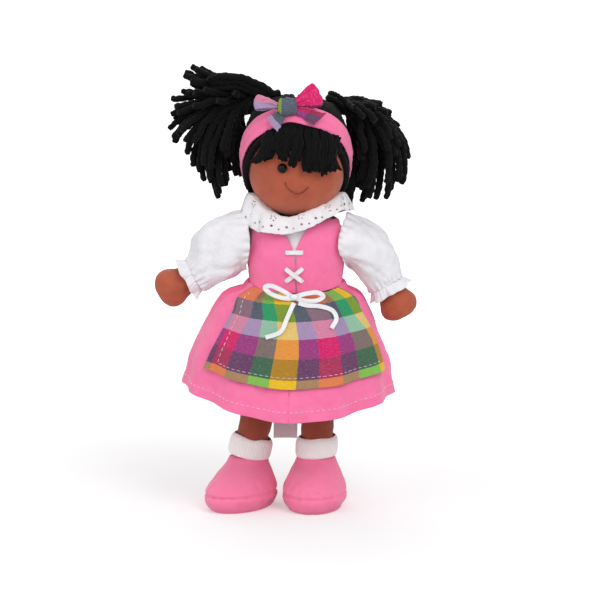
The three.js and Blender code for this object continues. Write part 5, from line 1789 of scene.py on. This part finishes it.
def make_sleeves():
    for name, side in SIDES:
        points, wrist, hand_way, _ = arm_route(side)
        curve = Curve(points, 400)
        first = 2.6 / curve.length
        puff = 19.5 if side == RIGHT else 16.0
        radii = Curve([
            [ARMHOLE_PUFF, ARMHOLE_PUFF], [puff, 18.0], [puff, 18.0],
            [mix(puff, 11.6, 0.45), mix(18.0, 11.6, 0.45)], [11.2, 11.2]])
        seed = 110 + side

        def sleeve(u, v):
            angle = u * TURN
            along = mix(first, 1.0, np.maximum(v - 0.05, 0) / 0.95)
            centre = curve.along(along)
            ahead = unit(curve.along(np.minimum(along + 0.01, 1))
                         - curve.along(np.maximum(along - 0.01, 0)))
            straight = smooth(v, 0.02, 0.25)[..., None]
            ahead = unit(mix(np.array([side, 0.0, 0.0]), ahead, straight))
            across = np.stack([-ahead[..., 2], 0 * v, ahead[..., 0]], -1)
            size = radii.at(np.clip(v, 0, 1))
            head = mix(12.4 / ARMHOLE_PUFF, 1.0, smooth(v, 0.0, 0.07))
            gather = (1.1 * np.exp(-((v - 0.05) / 0.1) ** 2) * smooth(v, 0.0, 0.05)
                      + 0.75 * np.exp(-((1 - v) / 0.11) ** 2))
            pleat = np.sin(20 * angle + 1.8 * np.sin(3 * angle + seed)) * gather
            body = np.sin(math.pi * np.clip(v, 0, 1))
            fold = (1.25 * np.sin(3 * angle + 4.5 * v + seed) * body
                    + 0.9 * np.sin(5 * angle - 7 * v + 2 * seed) * body ** 1.5)
            crease = 0.0
            for start, slope, depth in SLEEVE_CREASES:
                turned = (angle - start - slope * (v - 0.5) + math.pi) % TURN - math.pi
                crease = crease - depth * np.exp(-(turned / 0.2) ** 2) * body ** 1.3
            extra = pleat + fold + crease
            half_across = (size[..., 0] * head + extra)[..., None]
            half_depth = size[..., 1] * head + extra
            point = centre + across * half_across * np.cos(angle)[..., None]
            point[..., 1] += half_depth * np.sin(angle)
            front = np.maximum(-np.sin(angle), 0)
            middle, spread = (0.2, 0.2) if side == LEFT else (0.12, 0.1)
            lap = np.exp(-((v - middle) / spread) ** 2) * front ** 2
            point[..., 0] -= side * (9.5 if side == LEFT else 4.5) * lap
            point[..., 1] -= (3.4 if side == LEFT else 2.2) * lap
            return point + unit(point - centre) * (0.45 * relief(point, 15, seed))[..., None]

        puffed = cloth(f"sleeve_{name}_cloth", sleeve, 250, 112, "white", (128, 52),
                       0.6, wrapped=True)
        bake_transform(puffed)
        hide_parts(f"sleeve_{name}")

        across = np.array([-hand_way[2], 0.0, hand_way[0]])

        def around_wrist(angle, radius, past):
            point = wrist + hand_way * past[..., None] + across * (
                radius * np.cos(angle))[..., None]
            point[..., 1] += radius * np.sin(angle)
            return point

        def elastic(u, v):
            angle = u * TURN
            return around_wrist(angle, 10.1 + 0.3 * np.abs(np.sin(17 * angle)), -3.2 + 3.4 * v)

        band = cloth(f"cuff_{name}_elastic", elastic, 200, 8, "elastic", (66, 3.4), 1.0,
                     wrapped=True)
        fastened(band, f"arm_{name}", f"cuff_elastic_{name}")

        def frill(u, v):
            angle = u * TURN
            ripple = (1.35 * np.sin(8 * angle + side) + 0.7 * np.sin(13 * angle + 2)) * v ** 1.2
            gather = 0.3 * np.sin(30 * angle) * (1 - v)
            radius = mix(10.9, 14.2, v ** 0.8) + ripple + gather
            return around_wrist(angle, radius, 0.2 + 6.2 * v + 0.5 * v * np.sin(5 * angle))

        edge = cloth(f"cuff_{name}_frill", frill, 300, 26, "white", (110, 8), 0.6, wrapped=True)
        fastened(edge, f"arm_{name}", f"cuff_frill_{name}")


# Socks, waist bow and label

def leg_section(side, height):
    """Middle and half sizes of a leg at a height above the shoe."""
    bottom, top = 32.7, 90.0
    share = (height - bottom) / (top - bottom)
    hip_out, ankle_out = (19.0 if side == RIGHT else 15.5), ANKLE_OUT[side]
    swell = mix(11.6, 12.4, smooth(share, 0, 0.5))
    flat = smooth(share, 0.4, 1.0)
    return side * mix(ankle_out, hip_out, share), mix(swell, 12.6, flat), mix(swell, 6.4, flat)


def make_socks():
    for name, side in SIDES:
        slope = -0.21 if side == RIGHT else 0.05

        def sock(u, v):
            angle = u * TURN
            level = 33.1 + 13.2 * v
            middle, wide, deep = leg_section(side, level)
            roll = 1 - np.abs(2 * v - 1) ** 5
            rib = 0.14 * np.sin(42 * angle)
            offset = 0.6 - 0.9 * v ** 4 + 1.25 * roll + rib * roll
            offset = offset + 0.2 * np.sin(5 * angle + side) * v
            point = oblong(angle, wide + offset, deep + offset, level)
            point[..., 2] += slope * point[..., 0] + 0.35 * np.sin(4 * angle + side) * v
            point[..., 0] += middle
            return point

        cuff = cloth(f"sock_{name}_cuff", sock, 260, 34, "sock", (86, 13.4), 0.9, wrapped=True)
        fastened(cuff, f"leg_{name}", f"sock_cuff_{name}")


KNOT_HALF = 1.8
KNOT_ACROSS = -1.3


def make_waist_bow():
    lift = SKIRT_WALL + APRON_LIFT + APRON_WALL + FIT_GAP + KNOT_HALF
    knot = lifted(skirt_inner, lift)(np.array(0.0), np.array(0.1))
    knot[0] = KNOT_ACROSS
    angle = np.linspace(0.15, TURN - 0.15, 40)[:, None]
    route = knot + np.cos(angle) * (0, 0, 2.0) + np.sin(angle) * (0, -1.6, 0)
    facing = unit(route - knot)
    wrap = ribbon_along("ribbon_knot", route, facing, 4.4, 0.7)
    fastened(wrap, "torso", "waist_bow_knot")
    spots = ((0, -0.25), (0.35, -0.85), (0.8, -0.9), (1, -0.1), (0.8, 0.75), (0.35, 0.7), (0, 0.25))
    for name, side, rise in (("left", LEFT, 0.08), ("right", RIGHT, 0.42)):
        route = []
        for index, (out, up) in enumerate(spots):
            bulge = 0.7 * math.sin(math.pi * index / 6)
            route.append(knot + (side * (1.6 + out * 17.6), 0.9 * (index / 6 - 0.5) - bulge,
                                 up * 3.0 + rise * out * 17.0))
        route = Curve(route).along(np.linspace(0, 1, 70))
        loop = ribbon_along(f"ribbon_{name}_loop", route, (0.0, -1.0, 0.25),
                            sizes().ribbon / MM, RIBBON_THICK)
        fastened(loop, "torso", f"waist_bow_loop_{name}")


def make_label():
    """A blank woven tape that hangs from the seat, behind the legs."""
    def hanging(u, v):
        x = -15.4 + 15.8 * u
        curl = 1.1 * np.sin(math.pi * u) * smooth(v, 0.1, 1.0) + 0.9 * np.sin(v * 3.4)
        return np.stack([x + 0.5 * np.sin(v * 2.5), 13.5 + curl, 95.0 - 53.0 * v + 0 * u], -1)

    tape_item = cloth("care_label_tape", hanging, 40, 110, "label", (16, 53), 0.3)
    fastened(tape_item, "torso", "care_label")


# Operators and panel

class RAGDOLL_OT_stage(bpy.types.Operator):
    """Set up the floor, the lamps and the camera"""

    bl_idname = "ragdoll.stage"
    bl_label = "Stage"

    def execute(self, context):
        make_stage()
        return {"FINISHED"}


class RAGDOLL_OT_materials(bpy.types.Operator):
    """Mix the cloth, yarn, ribbon and bead materials"""

    bl_idname = "ragdoll.materials"
    bl_label = "Materials"

    def execute(self, context):
        make_materials()
        return {"FINISHED"}


class RAGDOLL_OT_tails(bpy.types.Operator):
    """Hang the two loose ends of the waist ribbon"""

    bl_idname = "ragdoll.tails"
    bl_label = "Ribbon tails"

    def execute(self, context):
        make_tails()
        return {"FINISHED"}


class RAGDOLL_OT_limbs(bpy.types.Operator):
    """Stuff the torso, the neck, the arms and the legs"""

    bl_idname = "ragdoll.limbs"
    bl_label = "Body"

    def execute(self, context):
        make_limbs()
        return {"FINISHED"}


class RAGDOLL_OT_shoes(bpy.types.Operator):
    """Stuff the two shoes over their soles"""

    bl_idname = "ragdoll.shoes"
    bl_label = "Shoes"

    def execute(self, context):
        make_shoes()
        return {"FINISHED"}


class RAGDOLL_OT_blouse(bpy.types.Operator):
    """Sew the blouse's body"""

    bl_idname = "ragdoll.blouse"
    bl_label = "Blouse"

    def execute(self, context):
        make_blouse()
        return {"FINISHED"}


class RAGDOLL_OT_bodice(bpy.types.Operator):
    """Sew the bodice's fronts and back"""

    bl_idname = "ragdoll.bodice"
    bl_label = "Bodice"

    def execute(self, context):
        make_bodice()
        return {"FINISHED"}


class RAGDOLL_OT_laces(bpy.types.Operator):
    """Thread the ribbon bar and cross on the bodice"""

    bl_idname = "ragdoll.laces"
    bl_label = "Laces"

    def execute(self, context):
        make_laces()
        return {"FINISHED"}


class RAGDOLL_OT_skirt(bpy.types.Operator):
    """Gather the skirt and stitch its hem"""

    bl_idname = "ragdoll.skirt"
    bl_label = "Skirt"

    def execute(self, context):
        make_skirt()
        return {"FINISHED"}


class RAGDOLL_OT_apron(bpy.types.Operator):
    """Hang the checked apron and stitch its edges"""

    bl_idname = "ragdoll.apron"
    bl_label = "Apron"

    def execute(self, context):
        make_apron()
        return {"FINISHED"}


class RAGDOLL_OT_head(bpy.types.Operator):
    """Stuff the head and sew on its eyes and its smile"""

    bl_idname = "ragdoll.head"
    bl_label = "Head"

    def execute(self, context):
        make_head()
        return {"FINISHED"}


class RAGDOLL_OT_hair(bpy.types.Operator):
    """Lay the yarn on the head and tie the two bunches"""

    bl_idname = "ragdoll.hair"
    bl_label = "Hair"

    def execute(self, context):
        make_hair()
        return {"FINISHED"}


class RAGDOLL_OT_fringe(bpy.types.Operator):
    """Brush out the tufts of the fringe"""

    bl_idname = "ragdoll.fringe"
    bl_label = "Fringe"

    def execute(self, context):
        make_fringe()
        return {"FINISHED"}


class RAGDOLL_OT_headband(bpy.types.Operator):
    """Fold the headband around the hair"""

    bl_idname = "ragdoll.headband"
    bl_label = "Headband"

    def execute(self, context):
        make_headband()
        return {"FINISHED"}


class RAGDOLL_OT_headband_bow(bpy.types.Operator):
    """Tie the checked bow on the headband"""

    bl_idname = "ragdoll.headband_bow"
    bl_label = "Headband bow"

    def execute(self, context):
        make_headband_bow()
        return {"FINISHED"}


class RAGDOLL_OT_collar(bpy.types.Operator):
    """Gather the eyelet collar"""

    bl_idname = "ragdoll.collar"
    bl_label = "Collar"

    def execute(self, context):
        make_collar()
        return {"FINISHED"}


class RAGDOLL_OT_sleeves(bpy.types.Operator):
    """Gather the puff sleeves, their elastics and their frills"""

    bl_idname = "ragdoll.sleeves"
    bl_label = "Sleeves"

    def execute(self, context):
        make_sleeves()
        return {"FINISHED"}


class RAGDOLL_OT_socks(bpy.types.Operator):
    """Roll the two sock cuffs"""

    bl_idname = "ragdoll.socks"
    bl_label = "Socks"

    def execute(self, context):
        make_socks()
        return {"FINISHED"}


class RAGDOLL_OT_waist_bow(bpy.types.Operator):
    """Tie the ribbon bow on the waist"""

    bl_idname = "ragdoll.waist_bow"
    bl_label = "Waist bow"

    def execute(self, context):
        make_waist_bow()
        return {"FINISHED"}


class RAGDOLL_OT_label(bpy.types.Operator):
    """Hang the blank care label"""

    bl_idname = "ragdoll.label"
    bl_label = "Label"

    def execute(self, context):
        make_label()
        return {"FINISHED"}


OPERATORS = (
    RAGDOLL_OT_stage,
    RAGDOLL_OT_materials,
    RAGDOLL_OT_tails,
    RAGDOLL_OT_limbs,
    RAGDOLL_OT_shoes,
    RAGDOLL_OT_blouse,
    RAGDOLL_OT_bodice,
    RAGDOLL_OT_laces,
    RAGDOLL_OT_skirt,
    RAGDOLL_OT_apron,
    RAGDOLL_OT_head,
    RAGDOLL_OT_hair,
    RAGDOLL_OT_fringe,
    RAGDOLL_OT_headband,
    RAGDOLL_OT_headband_bow,
    RAGDOLL_OT_collar,
    RAGDOLL_OT_sleeves,
    RAGDOLL_OT_socks,
    RAGDOLL_OT_waist_bow,
    RAGDOLL_OT_label,
)


class RAGDOLL_PT_panel(bpy.types.Panel):
    """Lists the doll's pieces in the order in which they are made"""

    bl_idname = "RAGDOLL_PT_panel"
    bl_label = "Rag doll"
    bl_space_type = "VIEW_3D"
    bl_region_type = "UI"
    bl_category = "Rag doll"

    def draw(self, context):
        for group in (context.scene.rag_doll_sizes, context.scene.rag_doll_colours):
            box = self.layout.box()
            for key in group.__annotations__:
                box.prop(group, key)
        column = self.layout.column(align=True)
        for operator in OPERATORS:
            column.operator(operator.bl_idname)


CLASSES = (RagDollSizes, RagDollColours, *OPERATORS, RAGDOLL_PT_panel)


def register():
    for item in CLASSES:
        bpy.utils.register_class(item)
    bpy.types.Scene.rag_doll_sizes = PointerProperty(type=RagDollSizes)
    bpy.types.Scene.rag_doll_colours = PointerProperty(type=RagDollColours)


def unregister():
    del bpy.types.Scene.rag_doll_colours
    del bpy.types.Scene.rag_doll_sizes
    for item in reversed(CLASSES):
        bpy.utils.unregister_class(item)


def main():
    register()
    for operator in OPERATORS:
        family, name = operator.bl_idname.split(".")
        getattr(getattr(bpy.ops, family), name)()


if __name__ == "__main__":
    main()
